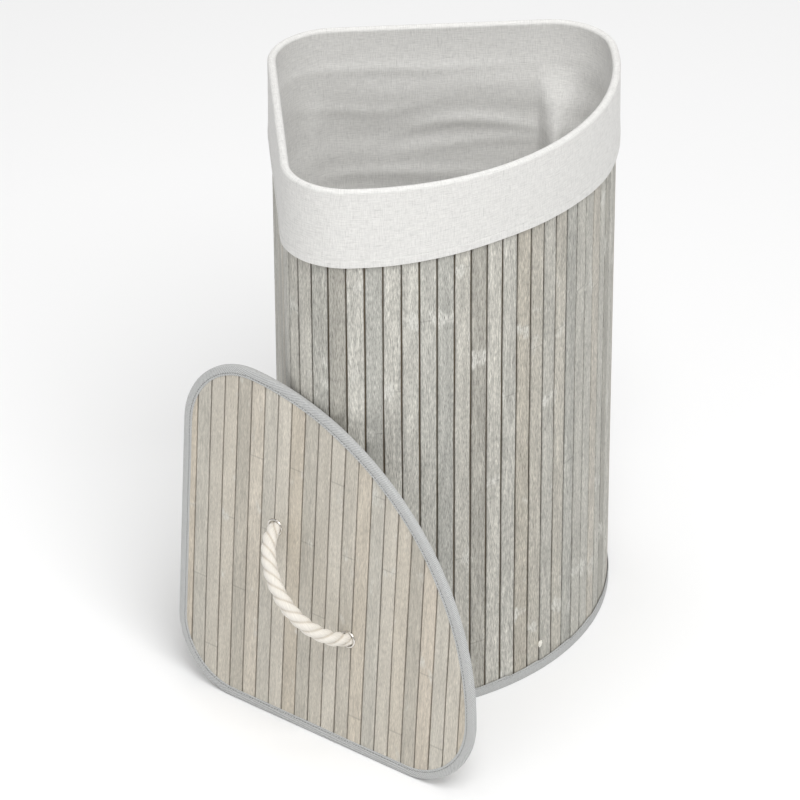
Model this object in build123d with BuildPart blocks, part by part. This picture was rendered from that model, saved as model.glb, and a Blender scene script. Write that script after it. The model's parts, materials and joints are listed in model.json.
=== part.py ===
"""Corner laundry hamper: a slatted bamboo bin with a cloth liner, and its loose lid leaning on it.

Sizes are millimetres and +Z is up. The origin is on the floor, at the centre of the square that
the bin's outline is drawn in. The bin's square corner is at the back left and its curved side
faces the front right. The lid stands on one straight edge and leans on the bin's front left corner.
"""
from build123d import *
import os
from math import atan2, cos, degrees, hypot, pi, radians, sin, sqrt, tan

# Bin outline, over the bottom binding
BIN_SIDE = 346.0
BIN_SQUARE_RADIUS = 68.0
BIN_END_RADIUS = 64.0
BIN_FRONT_RADIUS = 271.0
BIN_HEIGHT = 600.0

# Bin wall, from the outside in
BINDING_THICKNESS = 0.7
BINDING_HEIGHT = 12.4
SLAT_RECESS = 1.6
SLAT_THICKNESS = 2.0
SLAT_PITCH = 17.8
SLAT_GAP = 1.2
BACKING_THICKNESS = 0.6
TOP_BINDING_RECESS = 0.3
HOOP_DIAMETER = 2.4
SEAM_WIDTH = 30.0
SEAM_THICKNESS = 0.6

# Base
BASE_BOARD_THICKNESS = 3.0
BASE_CLOTH_THICKNESS = 0.6
SKIRT_HEIGHT = 42.0
TIE_HEIGHT = 32.0
TIE_GAPS_LEFT = 1  # slat gaps from the middle of the front to the tie
TIE_DIAMETER = 1.0
TIE_KNOT_DIAMETER = 5.0
TIE_KNOT_HEIGHT = 8.0

# Liner
LINER_THICKNESS = 0.8
CUFF_HEIGHT = 81.0
CUFF_PROUD = 1.3
HEM_HEIGHT = 9.0
HEM_THICKNESS = 0.6

# Lid outline and build-up
LID_SIDE = 374.0
LID_SQUARE_RADIUS = 74.0
LID_END_RADIUS = 81.0
LID_FRONT_RADIUS = 303.0
LID_THICKNESS = 7.0
LID_BINDING_WIDTH = 10.5
LID_SLAT_PITCH = 16.9
LID_FIRST_GAP = 17.3
LID_LINING_THICKNESS = 0.6

# Lid's stand: its foot edge's heading on the floor, its lean, and where the bin's corner meets it
LID_HEADING = 47.3
LID_LEAN = 4.44
LID_MEETS_AT = 152.9

# Rope handle, in the lid's own face: middle, spacing and direction of its two holes
ROPE_DIAMETER = 15.0
HANDLE_MIDDLE = (168.3, 168.3)
HANDLE_SPACING = 132.0
HANDLE_ANGLE = -43.0
ROPE_NECK_DIAMETER = 13.0
ROPE_PIVOT_HEIGHT = 10.5
EYELET_BORE = 14.0
EYELET_DIAMETER = 20.0
EYELET_WALL = 0.5
EYELET_FLANGE = 1.5
WASHER_DIAMETER = 22.0
WASHER_THICKNESS = 0.8
KNOT_DIAMETER = 27.0
KNOT_DEPTH = 14.0
KNOT_ROUNDING = 5.6

# Route of the rope from one end to the other: along the line of its holes, and out of the lid
ROPE_ROUTE = [(-63.0, 10.5), (-54.5, 22.8), (-30.6, 38.4), (1.2, 46.4), (32.2, 39.6), (55.2, 23.2), (63.0, 10.5)]

# Clearances
LOOSE = 0.4
REST = 0.3
HOLE_CLEARANCE = 0.1


def front_centre(side, end_radius, front_radius):
    """Distance of the front arc's centre from both straight sides, so that it runs into the end corners."""
    far = side - end_radius
    half = (far + end_radius) / 2
    return half - sqrt(half**2 - (far**2 + end_radius**2 - (front_radius - end_radius) ** 2) / 2)


class Plan:
    """A three-sided outline with its square corner at (0, 0) and its straight sides along +X and +Y."""

    def __init__(self, side, square_radius, end_radius, front_radius):
        self.side = side
        self.square_radius = square_radius
        self.end_radius = end_radius
        self.front_radius = front_radius
        self.centre = front_centre(side, end_radius, front_radius)
        self.far = side - end_radius
        self.turn = degrees(atan2(end_radius - self.centre, self.far - self.centre))

    def rail(self, inset):
        """The outline moved inwards, anticlockwise from the start of the first straight side."""
        corner = self.square_radius
        end = self.end_radius
        with BuildLine() as path:
            Line((corner, inset), (self.far, inset))
            CenterArc((self.far, end), end - inset, -90, 90 + self.turn)
            CenterArc((self.centre, self.centre), self.front_radius - inset, self.turn, 90 - 2 * self.turn)
            CenterArc((end, self.far), end - inset, 90 - self.turn, 90 + self.turn)
            Line((inset, self.far), (inset, corner))
            CenterArc((corner, corner), corner - inset, 180, 90)
        return path.wire()

    def stretches(self, inset):
        """Lengths of the rail's six stretches, in its own order."""
        straight = self.far - self.square_radius
        end = (self.end_radius - inset) * radians(90 + self.turn)
        front = (self.front_radius - inset) * radians(90 - 2 * self.turn)
        square = (self.square_radius - inset) * pi / 2
        return [straight, end, front, end, straight, square]

    def face(self, inset):
        """The whole outline as a flat face."""
        with BuildSketch() as sheet:
            with BuildLine():
                add(self.rail(inset))
            make_face()
        return sheet.sketch

    def ring(self, outer, inner):
        """The band between two insets."""
        with BuildSketch() as band:
            add(self.face(outer))
            add(self.face(inner), mode=Mode.SUBTRACT)
        return band.sketch

    def front_height(self, x):
        """How far the outline reaches along +Y at a place along its first straight side."""
        if x < self.end_radius:
            return self.far + sqrt(self.end_radius**2 - (self.end_radius - x) ** 2)
        return self.centre + sqrt(self.front_radius**2 - (x - self.centre) ** 2)


def save(piece, name):
    """Name a finished piece and write it."""
    piece.part.label = name
    export_step(piece.part, f"parts/{name}.step")


def band(plane, plan, outer, inner, bottom, top):
    """A closed band of the outline between two heights above a plane."""
    with BuildPart() as strip:
        with BuildSketch(plane.offset(bottom)):
            add(plan.ring(outer, inner))
        extrude(amount=top - bottom)
    return strip


def sheet(plane, plan, inset, bottom, top):
    """A whole panel of the outline between two heights above a plane."""
    with BuildPart() as panel:
        with BuildSketch(plane.offset(bottom)):
            add(plan.face(inset))
        extrude(amount=top - bottom)
    return panel


os.makedirs("parts", exist_ok=True)

bin_plan = Plan(BIN_SIDE, BIN_SQUARE_RADIUS, BIN_END_RADIUS, BIN_FRONT_RADIUS)
lid_plan = Plan(LID_SIDE, LID_SQUARE_RADIUS, LID_END_RADIUS, LID_FRONT_RADIUS)

# The bin's plane has its origin under the square corner: +X is along the left wall and +Y along the back
bin_plane = Plane(origin=(-BIN_SIDE / 2, BIN_SIDE / 2, 0), x_dir=(0, -1, 0), z_dir=(0, 0, 1))

# Insets of the wall's layers
backing_outer = SLAT_RECESS + SLAT_THICKNESS
backing_inner = backing_outer + BACKING_THICKNESS
binding_inner = backing_inner + BINDING_THICKNESS
skirt_inner = binding_inner + BASE_CLOTH_THICKNESS
liner_outer = skirt_inner + LOOSE
liner_inner = liner_outer + LINER_THICKNESS

# Heights of the wall's edges under the liner's fold
rim_top = BIN_HEIGHT - LINER_THICKNESS - LOOSE
hoop_middle = rim_top - BINDING_THICKNESS - HOLE_CLEARANCE - HOOP_DIAMETER / 2
slat_top = hoop_middle - HOOP_DIAMETER / 2 - HOLE_CLEARANCE
slat_bottom = BINDING_THICKNESS
slat_length = slat_top - slat_bottom

# Wall slats: flat strips, evenly spaced round the outline, with a gap in the middle of the front
stretches = bin_plan.stretches(SLAT_RECESS)
girth = sum(stretches)
slat_count = 2 * round(girth / SLAT_PITCH / 2)
slat_pitch = girth / slat_count
slat_width = slat_pitch - SLAT_GAP
front_start = stretches[0] + stretches[1]
front_middle = front_start + stretches[2] / 2
slat_rail = bin_plan.rail(SLAT_RECESS)

wall_parts = [
    ("wall_slats_left", stretches[0]),
    ("wall_slats_front_left_corner", stretches[1]),
    ("wall_slats_front_left", stretches[2] / 3),
    ("wall_slats_front_middle", stretches[2] / 3),
    ("wall_slats_front_right", stretches[2] / 3),
    ("wall_slats_right_corner", stretches[3]),
    ("wall_slats_back", stretches[4]),
    ("wall_slats_back_corner", stretches[5]),
]


def slat_place(distance):
    """Where a slat's outer face touches the rail, and which way it runs."""
    spot = slat_rail.position_at(distance, position_mode=PositionMode.LENGTH)
    along = slat_rail.tangent_at(distance, position_mode=PositionMode.LENGTH)
    return Location((spot.X, spot.Y, 0), (0, 0, degrees(atan2(along.Y, along.X))))


slat_middles = sorted((front_middle + (i + 0.5) * slat_pitch) % girth for i in range(slat_count))
start = 0.0
for wall_name, length in wall_parts:
    places = [slat_place(s) for s in slat_middles if start <= s < start + length]
    start += length
    with BuildPart(bin_plane.offset(slat_bottom)) as wall_slats:
        with Locations(*places):
            Box(slat_width, SLAT_THICKNESS, slat_length, align=(Align.CENTER, Align.MIN, Align.MIN))
    save(wall_slats, wall_name)

# The tie passes through a gap near the middle of the front, square to the wall
tie_reach = bin_plan.front_radius
tie_heading = pi / 4 - TIE_GAPS_LEFT * slat_pitch / (bin_plan.front_radius - SLAT_RECESS)
tie_plane = Plane(
    origin=bin_plane.from_local_coords(Vector(bin_plan.centre, bin_plan.centre, TIE_HEIGHT)),
    x_dir=(0, 0, 1),
    z_dir=(sin(tie_heading), -cos(tie_heading), 0),
)

# Backing cloth that the slats are glued to, with the tie's hole
with BuildPart() as wall_backing_cloth:
    with BuildSketch(bin_plane.offset(slat_bottom)):
        add(bin_plan.ring(backing_outer, backing_inner))
    extrude(amount=slat_length)
    with BuildSketch(tie_plane):
        Circle(TIE_DIAMETER / 2 + HOLE_CLEARANCE)
    extrude(amount=tie_reach, mode=Mode.SUBTRACT)
save(wall_backing_cloth, "wall_backing_cloth")

# Tape over the joint of the wall's two ends, inside the back wall
seam_bottom = BINDING_HEIGHT + LOOSE
seam_top = rim_top - BINDING_HEIGHT - LOOSE
with BuildPart(bin_plane.offset(seam_bottom)) as wall_seam_tape:
    with Locations((backing_inner + SEAM_THICKNESS / 2, BIN_SIDE / 2, 0)):
        Box(SEAM_THICKNESS, SEAM_WIDTH, seam_top - seam_bottom, align=(Align.CENTER, Align.CENTER, Align.MIN))
save(wall_seam_tape, "wall_seam_tape")

# Bindings folded over the wall's bottom and top edges
with BuildPart() as wall_bottom_binding:
    with BuildSketch(bin_plane):
        add(bin_plan.ring(0, binding_inner))
    extrude(amount=BINDING_HEIGHT)
    with BuildSketch(bin_plane.offset(BINDING_THICKNESS)):
        add(bin_plan.ring(BINDING_THICKNESS, backing_inner))
    extrude(amount=BINDING_HEIGHT, mode=Mode.SUBTRACT)
save(wall_bottom_binding, "wall_bottom_binding")

with BuildPart() as wall_top_binding:
    with BuildSketch(bin_plane.offset(rim_top)):
        add(bin_plan.ring(TOP_BINDING_RECESS, binding_inner))
    extrude(amount=-BINDING_HEIGHT)
    with BuildSketch(bin_plane.offset(rim_top - BINDING_THICKNESS)):
        add(bin_plan.ring(TOP_BINDING_RECESS + BINDING_THICKNESS, backing_inner))
    extrude(amount=-BINDING_HEIGHT, mode=Mode.SUBTRACT)
save(wall_top_binding, "wall_top_binding")

# Steel hoop that holds the mouth's shape, inside the top binding's fold
hoop_inset = (SLAT_RECESS + backing_inner) / 2
hoop_path = bin_plane.offset(hoop_middle).from_local_coords(bin_plan.rail(hoop_inset))
with BuildPart() as rim_hoop:
    with BuildSketch(Plane(origin=hoop_path @ 0, z_dir=hoop_path % 0)):
        Circle(HOOP_DIAMETER / 2)
    sweep(path=hoop_path)
save(rim_hoop, "rim_hoop")

# Base: a covered board, and a cloth skirt that joins it to the wall and is tied through it
board_bottom = BASE_CLOTH_THICKNESS
board_top = board_bottom + BASE_BOARD_THICKNESS
cover_top = board_top + BASE_CLOTH_THICKNESS
save(sheet(bin_plane, bin_plan, binding_inner, 0, board_bottom), "base_cover_bottom")
save(sheet(bin_plane, bin_plan, binding_inner, board_bottom, board_top), "base_board")
save(sheet(bin_plane, bin_plan, binding_inner, board_top, cover_top), "base_cover_top")
save(band(bin_plane, bin_plan, binding_inner, skirt_inner, cover_top, SKIRT_HEIGHT), "base_skirt")

tie_start = bin_plan.front_radius - binding_inner
knot_face = hypot(bin_plan.front_radius - SLAT_RECESS, slat_width / 2)
with BuildPart() as base_tie:
    with BuildSketch(tie_plane.offset(tie_start)):
        Circle(TIE_DIAMETER / 2)
    extrude(amount=knot_face - tie_start)
save(base_tie, "base_tie")

with BuildPart() as base_tie_knot:
    with BuildSketch(tie_plane.offset(knot_face)):
        RectangleRounded(TIE_KNOT_HEIGHT, TIE_KNOT_DIAMETER, TIE_KNOT_DIAMETER / 2 - HOLE_CLEARANCE)
    extrude(amount=TIE_KNOT_DIAMETER / 2)
    fillet(base_tie_knot.edges().group_by(Axis(tie_plane.origin, tie_plane.z_dir))[-1], TIE_KNOT_DIAMETER / 5)
save(base_tie_knot, "base_tie_knot")

# Liner: a bag inside the wall, folded out over the rim as a cuff with a hem
fold_under = BIN_HEIGHT - LINER_THICKNESS
liner_floor = cover_top + LOOSE
cuff_bottom = BIN_HEIGHT - CUFF_HEIGHT
cuff_inner = LINER_THICKNESS - CUFF_PROUD
save(sheet(bin_plane, bin_plan, liner_inner, liner_floor, liner_floor + LINER_THICKNESS), "liner_bottom")
save(band(bin_plane, bin_plan, liner_outer, liner_inner, liner_floor, fold_under), "liner_side")
hem_inner = cuff_inner + HEM_THICKNESS
save(band(bin_plane, bin_plan, cuff_inner, hem_inner, cuff_bottom, cuff_bottom + HEM_HEIGHT), "liner_cuff_hem")

with BuildPart() as liner_cuff:
    with BuildSketch(bin_plane.offset(cuff_bottom)):
        add(bin_plan.ring(-CUFF_PROUD, cuff_inner))
    extrude(amount=CUFF_HEIGHT)
    with BuildSketch(bin_plane.offset(fold_under)):
        add(bin_plan.ring(-CUFF_PROUD, liner_inner))
    extrude(amount=LINER_THICKNESS)
save(liner_cuff, "liner_cuff")

# Levels through the lid, from its front face down
lid_face = -BINDING_THICKNESS
lid_board_face = lid_face - SLAT_THICKNESS
lid_back = -LID_THICKNESS
lining_back = lid_back + BINDING_THICKNESS
lining_face = lining_back + LID_LINING_THICKNESS

# The handle's two holes
handle_turn = radians(HANDLE_ANGLE)
eyelet_places = [
    (
        HANDLE_MIDDLE[0] + end * HANDLE_SPACING / 2 * cos(handle_turn),
        HANDLE_MIDDLE[1] + end * HANDLE_SPACING / 2 * sin(handle_turn),
    )
    for end in (-1, 1)
]
barrel_radius = EYELET_BORE / 2 + EYELET_WALL
hole_radius = barrel_radius + HOLE_CLEARANCE
knot_top = lining_back - WASHER_THICKNESS
knot_back = knot_top - KNOT_DEPTH

# The lid leans back until its edge or a knot is just clear of the slats of the bin's front left corner
lean = radians(LID_LEAN)
heading = radians(LID_HEADING)
foot_run = Vector(sin(heading), -cos(heading), 0)
foot_out = Vector(-cos(heading), -sin(heading), 0)
lid_normal = foot_out * cos(lean) + Vector(0, 0, sin(lean))
corner_middle = Vector(*[-BIN_SIDE / 2 + BIN_END_RADIUS] * 2, 0)
corner_reach = hypot(BIN_END_RADIUS - SLAT_RECESS, slat_width / 2)


def lean_reach(x, y, depth):
    """How far in front of the bin corner's middle the foot must stand for a point this deep in the lid."""
    curve = sqrt(max(corner_reach**2 - (x - LID_MEETS_AT) ** 2, 0))
    return y * sin(lean) + depth * cos(lean) + curve


edge_run = [LID_MEETS_AT + x for x in range(-60, 61)]
edge_reach = max(lean_reach(x, lid_plan.front_height(x), LID_THICKNESS) for x in edge_run)
knot_flat = KNOT_DIAMETER / 2 - KNOT_ROUNDING
knot_spots = [(x + side * knot_flat, y + knot_flat) for x, y in eyelet_places for side in (-1, 1)]
knot_reach = max(lean_reach(x, y, -knot_back) for x, y in knot_spots)
foot_distance = max(edge_reach, knot_reach) + REST
foot_corner = corner_middle + foot_out * foot_distance - foot_run * LID_MEETS_AT
foot_corner += Vector(0, 0, LID_THICKNESS * sin(lean))
lid_plane = Plane(origin=foot_corner, x_dir=foot_run, z_dir=lid_normal)

with BuildPart() as lid_slats:
    with BuildSketch(lid_plane.offset(lid_board_face)):
        first_middle = LID_FIRST_GAP - LID_SLAT_PITCH / 2
        lid_slat_count = round((LID_SIDE - LID_FIRST_GAP) / LID_SLAT_PITCH) + 1
        with Locations(*[(first_middle + i * LID_SLAT_PITCH, LID_SIDE / 2) for i in range(lid_slat_count)]):
            Rectangle(LID_SLAT_PITCH - SLAT_GAP, LID_SIDE)
        add(lid_plan.face(BINDING_THICKNESS), mode=Mode.INTERSECT)
        with Locations(*eyelet_places):
            Circle(hole_radius, mode=Mode.SUBTRACT)
    extrude(amount=SLAT_THICKNESS)
save(lid_slats, "lid_slats")


def lid_panel(bottom, top):
    """A whole layer of the lid with the handle's two holes."""
    with BuildPart() as panel:
        with BuildSketch(lid_plane.offset(bottom)):
            add(lid_plan.face(BINDING_THICKNESS))
            with Locations(*eyelet_places):
                Circle(hole_radius, mode=Mode.SUBTRACT)
        extrude(amount=top - bottom)
    return panel


save(lid_panel(lining_face, lid_board_face), "lid_board")
save(lid_panel(lining_back, lining_face), "lid_lining")

with BuildPart() as lid_binding:
    with BuildSketch(lid_plane.offset(lid_back)):
        add(lid_plan.ring(0, LID_BINDING_WIDTH))
    extrude(amount=LID_THICKNESS)
    with BuildSketch(lid_plane.offset(lining_back)):
        add(lid_plan.ring(BINDING_THICKNESS, LID_BINDING_WIDTH))
    extrude(amount=lid_face - lining_back, mode=Mode.SUBTRACT)
save(lid_binding, "lid_binding")

# Eyelets: a barrel through the lid with a rounded flange in front, set over a washer behind
with BuildPart() as lid_eyelets:
    with BuildSketch(lid_plane.offset(lining_back - WASHER_THICKNESS)):
        with Locations(*eyelet_places):
            Circle(barrel_radius)
            Circle(EYELET_BORE / 2, mode=Mode.SUBTRACT)
    extrude(amount=lid_face - lining_back + WASHER_THICKNESS)
    with BuildSketch(lid_plane.offset(lid_face)):
        with Locations(*eyelet_places):
            Circle(EYELET_DIAMETER / 2)
            Circle(EYELET_BORE / 2, mode=Mode.SUBTRACT)
    extrude(amount=EYELET_FLANGE)
    rim_edges = lid_eyelets.edges().group_by(Axis(lid_plane.origin, lid_plane.z_dir))[-1]
    fillet(rim_edges, EYELET_FLANGE / 2)
save(lid_eyelets, "lid_eyelets")

with BuildPart() as lid_eyelet_washers:
    with BuildSketch(lid_plane.offset(lining_back)):
        with Locations(*eyelet_places):
            Circle(WASHER_DIAMETER / 2)
            Circle(hole_radius, mode=Mode.SUBTRACT)
    extrude(amount=-WASHER_THICKNESS)
save(lid_eyelet_washers, "lid_eyelet_washers")

# Rope ends: a neck through each eyelet, and a knot behind it
neck_top = ROPE_PIVOT_HEIGHT - ROPE_DIAMETER / 2 - REST
with BuildPart() as rope_necks:
    with BuildSketch(lid_plane.offset(knot_top)):
        with Locations(*eyelet_places):
            Circle(ROPE_NECK_DIAMETER / 2)
    extrude(amount=neck_top - knot_top)
save(rope_necks, "rope_necks")

with BuildPart() as rope_knots:
    with BuildSketch(lid_plane.offset(knot_top)):
        with Locations(*eyelet_places):
            Circle(KNOT_DIAMETER / 2)
    extrude(amount=-KNOT_DEPTH)
    fillet(rope_knots.edges(), KNOT_ROUNDING)
save(rope_knots, "rope_knots")

# Rope handle: an arch of rope that stands out of the lid and turns about its two ends
rope_run = lid_plane.x_dir * cos(handle_turn) + lid_plane.y_dir * sin(handle_turn)
handle_plane = Plane(
    origin=lid_plane.from_local_coords(Vector(*HANDLE_MIDDLE, 0)),
    x_dir=rope_run,
    z_dir=rope_run.cross(lid_plane.z_dir),
)


def corner_radii(points):
    """Radius of each corner's arc: 0.45 of its shorter run, over the tangent of half its turn."""
    radii = []
    for before, here, after in zip(points, points[1:], points[2:]):
        first = Vector(*here) - Vector(*before)
        second = Vector(*after) - Vector(*here)
        half_turn = radians(first.get_angle(second)) / 2
        radii.append(0.45 * min(first.length, second.length) / tan(half_turn))
    return radii


rope_radii = corner_radii(ROPE_ROUTE)
with BuildPart() as rope_handle:
    with BuildLine(handle_plane):
        rope_path = FilletPolyline(*ROPE_ROUTE, radius=rope_radii)
    with BuildSketch(Plane(origin=rope_path @ 0, z_dir=rope_path % 0)):
        Circle(ROPE_DIAMETER / 2)
    sweep()
    rope_volume = rope_handle.part.volume
    with Locations(rope_path @ 0, rope_path @ 1):
        Sphere(ROPE_DIAMETER / 2)
save(rope_handle, "rope_handle")

tube_volume = pi * ROPE_DIAMETER**2 / 4 * rope_path.length
print("slats round the wall:", slat_count, "pitch", round(slat_pitch, 2), "width", round(slat_width, 2))
print("rope radii:", [round(radius, 1) for radius in rope_radii])
print("rope length", round(rope_path.length, 1), "volume", round(rope_volume), "section x length", round(tube_volume))
print("lid face normal", [round(x, 5) for x in lid_plane.z_dir])
print("lid origin", [round(x, 2) for x in lid_plane.origin])
print("handle ends", [[round(x, 2) for x in rope_path @ end] for end in (0, 1)])
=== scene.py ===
"""Corner laundry hamper: grey-washed bamboo slats, a linen liner with a deep cuff, and its lid."""

import json
import math

import bmesh
import bpy
from mathutils import Matrix, Vector, noise


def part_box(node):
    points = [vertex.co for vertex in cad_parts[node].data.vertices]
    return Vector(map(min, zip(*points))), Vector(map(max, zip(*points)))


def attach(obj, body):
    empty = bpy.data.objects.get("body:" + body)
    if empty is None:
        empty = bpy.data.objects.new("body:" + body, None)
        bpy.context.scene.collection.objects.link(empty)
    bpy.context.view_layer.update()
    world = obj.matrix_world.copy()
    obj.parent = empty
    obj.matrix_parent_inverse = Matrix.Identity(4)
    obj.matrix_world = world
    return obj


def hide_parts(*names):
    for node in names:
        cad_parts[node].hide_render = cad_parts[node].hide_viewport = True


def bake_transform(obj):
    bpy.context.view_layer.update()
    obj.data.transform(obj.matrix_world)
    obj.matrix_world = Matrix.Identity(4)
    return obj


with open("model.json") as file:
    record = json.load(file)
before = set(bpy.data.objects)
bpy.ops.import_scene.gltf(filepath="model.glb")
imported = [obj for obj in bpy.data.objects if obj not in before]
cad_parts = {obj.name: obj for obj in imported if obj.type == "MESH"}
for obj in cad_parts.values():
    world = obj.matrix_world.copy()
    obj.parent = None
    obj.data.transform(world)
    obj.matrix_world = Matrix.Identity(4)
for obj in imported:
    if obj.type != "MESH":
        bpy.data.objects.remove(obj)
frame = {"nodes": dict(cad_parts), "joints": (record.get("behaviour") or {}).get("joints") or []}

bl_info = {
    "name": "Corner Laundry Hamper",
    "version": (1, 0, 0),
    "blender": (4, 5, 0),
    "location": "3D View > Sidebar > Hamper",
    "description": "Builds a slatted corner hamper with a cloth liner, a lid and a rope handle",
    "category": "Add Mesh",
}

MM = 0.001


def linear(hex_code):
    """An sRGB hex value as the linear red, green and blue that Blender works in."""
    parts = [int(hex_code[i : i + 2], 16) / 255 for i in (1, 3, 5)]
    return [c / 12.92 if c <= 0.04045 else ((c + 0.055) / 1.055) ** 2.4 for c in parts]


# ---------------------------------------------------------------------------------------------
# Sizes and colours that a user would change


def size(name, description, default):
    """A length in metres."""
    return bpy.props.FloatProperty(
        name=name, description=description, default=default, min=0.0, unit="LENGTH", subtype="DISTANCE"
    )


def colour(name, description, hex_code):
    """A colour, given as its sRGB hex value."""
    return bpy.props.FloatVectorProperty(
        name=name,
        description=description,
        default=linear(hex_code),
        size=3,
        min=0.0,
        max=1.0,
        subtype="COLOR",
    )


class HamperSizes(bpy.types.PropertyGroup):
    """Real sizes of the hamper's own pieces."""

    side: size("Bin side", "Side of the square that the bin's outline fits in", 346 * MM)
    square_radius: size("Square corner", "Radius of the bin's square corner", 68 * MM)
    end_radius: size("End corners", "Radius of the corners at the ends of the curved front", 64 * MM)
    front_radius: size("Front", "Radius of the bin's curved front", 271 * MM)
    slat_gap: size("Slat gap", "Gap between two slats", 1.2 * MM)
    slat_thickness: size("Slat thickness", "Thickness of a slat", 2.0 * MM)
    tape_width: size("Lid binding", "Width of the binding on the lid's face", 10.5 * MM)
    cuff_height: size("Cuff height", "How far the liner hangs down outside the rim", 81 * MM)
    hem_height: size("Hem height", "Height of the cuff's stitched hem", 9 * MM)
    stitch: size("Stitch", "Length of one stitch with the gap after it", 3.6 * MM)
    rope: size("Rope", "Diameter of the rope", 15 * MM)
    rope_lay: size("Rope lay", "Length in which a strand goes once round the rope", 41 * MM)


class HamperColours(bpy.types.PropertyGroup):
    """Colours of the hamper's own finishes."""

    wall_pale: colour("Wall, pale", "Palest slats of the wall", "#c2c0b8")
    wall_dark: colour("Wall, dark", "Darkest slats of the wall", "#a9a69d")
    lid_pale: colour("Lid, pale", "Palest slats of the lid", "#cbc5b9")
    lid_dark: colour("Lid, dark", "Darkest slats of the lid", "#b8b2a6")
    gap: colour("Gaps", "Cloth seen between the slats", "#6f6454")
    tape: colour("Binding", "Grey twill of the bindings", "#c9cac9")
    linen: colour("Linen", "Cloth of the liner", "#e4e3e0")
    rope: colour("Rope", "Cotton of the rope and the tie", "#e8e3da")


# ---------------------------------------------------------------------------------------------
# Shapes shared by several pieces


class Outline:
    """The hamper's three-sided outline, with its square corner at (0, 0) and its sides along +X and +Y.

    Its stretches are (length, start, direction) for a side, and (length, centre, radius, first
    angle, turn) for a corner or the front.
    """

    def __init__(self, side, square, end, front):
        far = side - end
        half = (far + end) / 2
        centre = half - math.sqrt(half**2 - (far**2 + end**2 - (front - end) ** 2) / 2)
        turn = math.atan2(end - centre, far - centre)
        right = math.pi / 2
        self.far, self.end, self.front, self.centre, self.square = far, end, front, centre, square
        self.turn = turn
        self.stretches = [
            (far - square, (square, 0.0), (1.0, 0.0)),
            (end * (right + turn), (far, end), end, -right, right + turn),
            (front * (right - 2 * turn), (centre, centre), front, turn, right - 2 * turn),
            (end * (right + turn), (end, far), end, right - turn, right + turn),
            (far - square, (0.0, far), (0.0, -1.0)),
            (square * right, (square, square), square, math.pi, right),
        ]
        self.length = sum(s[0] for s in self.stretches)

    def middle(self):
        """Distance to the middle of the front."""
        return self.stretches[0][0] + self.stretches[1][0] + self.stretches[2][0] / 2

    def at(self, distance, inset=0.0):
        """(x, y) at a distance round the outline, moved in by inset, and (x, y) of its outward direction."""
        left = distance % self.length
        for stretch in self.stretches:
            if left <= stretch[0] or stretch is self.stretches[-1]:
                break
            left -= stretch[0]
        if len(stretch) == 3:
            (x, y), (run_x, run_y) = stretch[1:]
            out_x, out_y = run_y, -run_x
            x, y = x + run_x * left, y + run_y * left
        else:
            (x, y), radius, first, turn = stretch[1:]
            angle = first + turn * left / stretch[0]
            out_x, out_y = math.cos(angle), math.sin(angle)
            x, y = x + out_x * radius, y + out_y * radius
        return (x - out_x * inset, y - out_y * inset), (out_x, out_y)

    def reach(self, x, inset):
        """Lowest and highest y of the outline, moved in by inset, at one x."""
        corner = self.end - inset
        low = inset
        if x < self.square:
            low = self.square - math.sqrt(max((self.square - inset) ** 2 - (self.square - x) ** 2, 0.0))
        if x > self.far:
            low = self.end - math.sqrt(max(corner**2 - (x - self.far) ** 2, 0.0))
        if x < self.end + corner * math.sin(self.turn):
            high = self.far + math.sqrt(max(corner**2 - (x - self.end) ** 2, 0.0))
        elif x < self.far + corner * math.cos(self.turn):
            high = self.centre + math.sqrt((self.front - inset) ** 2 - (x - self.centre) ** 2)
        else:
            high = self.end + math.sqrt(max(corner**2 - (x - self.far) ** 2, 0.0))
        return low, high


def sizes():
    return bpy.context.scene.hamper_sizes


def colours():
    return bpy.context.scene.hamper_colours


def bin_outline():
    s = sizes()
    return Outline(s.side, s.square_radius, s.end_radius, s.front_radius)


def bin_place():
    """Matrix that puts the bin's outline under the bin: its square corner is at the back left."""
    half = sizes().side / 2
    return Matrix(((0, 1, 0, -half), (-1, 0, 0, half), (0, 0, 1, 0), (0, 0, 0, 1)))


LID_SIDE = 374 * MM
LID_SQUARE_RADIUS = 74 * MM
LID_END_RADIUS = 81 * MM
LID_FRONT_RADIUS = 303 * MM


def lid_outline():
    return Outline(LID_SIDE, LID_SQUARE_RADIUS, LID_END_RADIUS, LID_FRONT_RADIUS)


def placed(across, up, out, origin):
    """Matrix with these three axes and this origin."""
    return Matrix.Translation(origin) @ Matrix((across, up, out)).transposed().to_4x4()


def lid_place():
    """Matrix from the lid's own face (X along its foot, Y up it, Z out of it) to where it leans."""
    slide = next(j for j in frame["joints"] if j["name"] == "lid_away")
    out = Vector(slide["axis"]).normalized()
    run = Vector((-out.y, out.x, 0)).normalized()
    up = out.cross(run)
    corners = [v.co for v in frame["nodes"]["lid_binding"].data.vertices]
    origin = run * min(c.dot(run) for c in corners)
    origin += up * min(c.dot(up) for c in corners)
    origin += out * max(c.dot(out) for c in corners)
    return placed(run, up, out, origin)


HANDLE_MIDDLE = (168.3 * MM, 168.3 * MM)
HANDLE_SPACING = 132 * MM
HANDLE_ANGLE = math.radians(-43.0)


def handle_place():
    """Matrix whose X runs along the line of the handle's two holes and whose Y points out of the lid."""
    turn = Matrix.Rotation(HANDLE_ANGLE, 4, "Z") @ Matrix.Rotation(math.pi / 2, 4, "X")
    return lid_place() @ Matrix.Translation((*HANDLE_MIDDLE, 0)) @ turn


def hole_places():
    """Matrices at the lid's two holes, with Z out of the lid."""
    shift = Vector((math.cos(HANDLE_ANGLE), math.sin(HANDLE_ANGLE), 0)) * HANDLE_SPACING / 2
    middle = Vector((*HANDLE_MIDDLE, 0))
    return [lid_place() @ Matrix.Translation(middle + shift * end) for end in (-1, 1)]


def wave(*place):
    """Smooth noise from -1 to 1."""
    return noise.noise(Vector(place))


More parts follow.
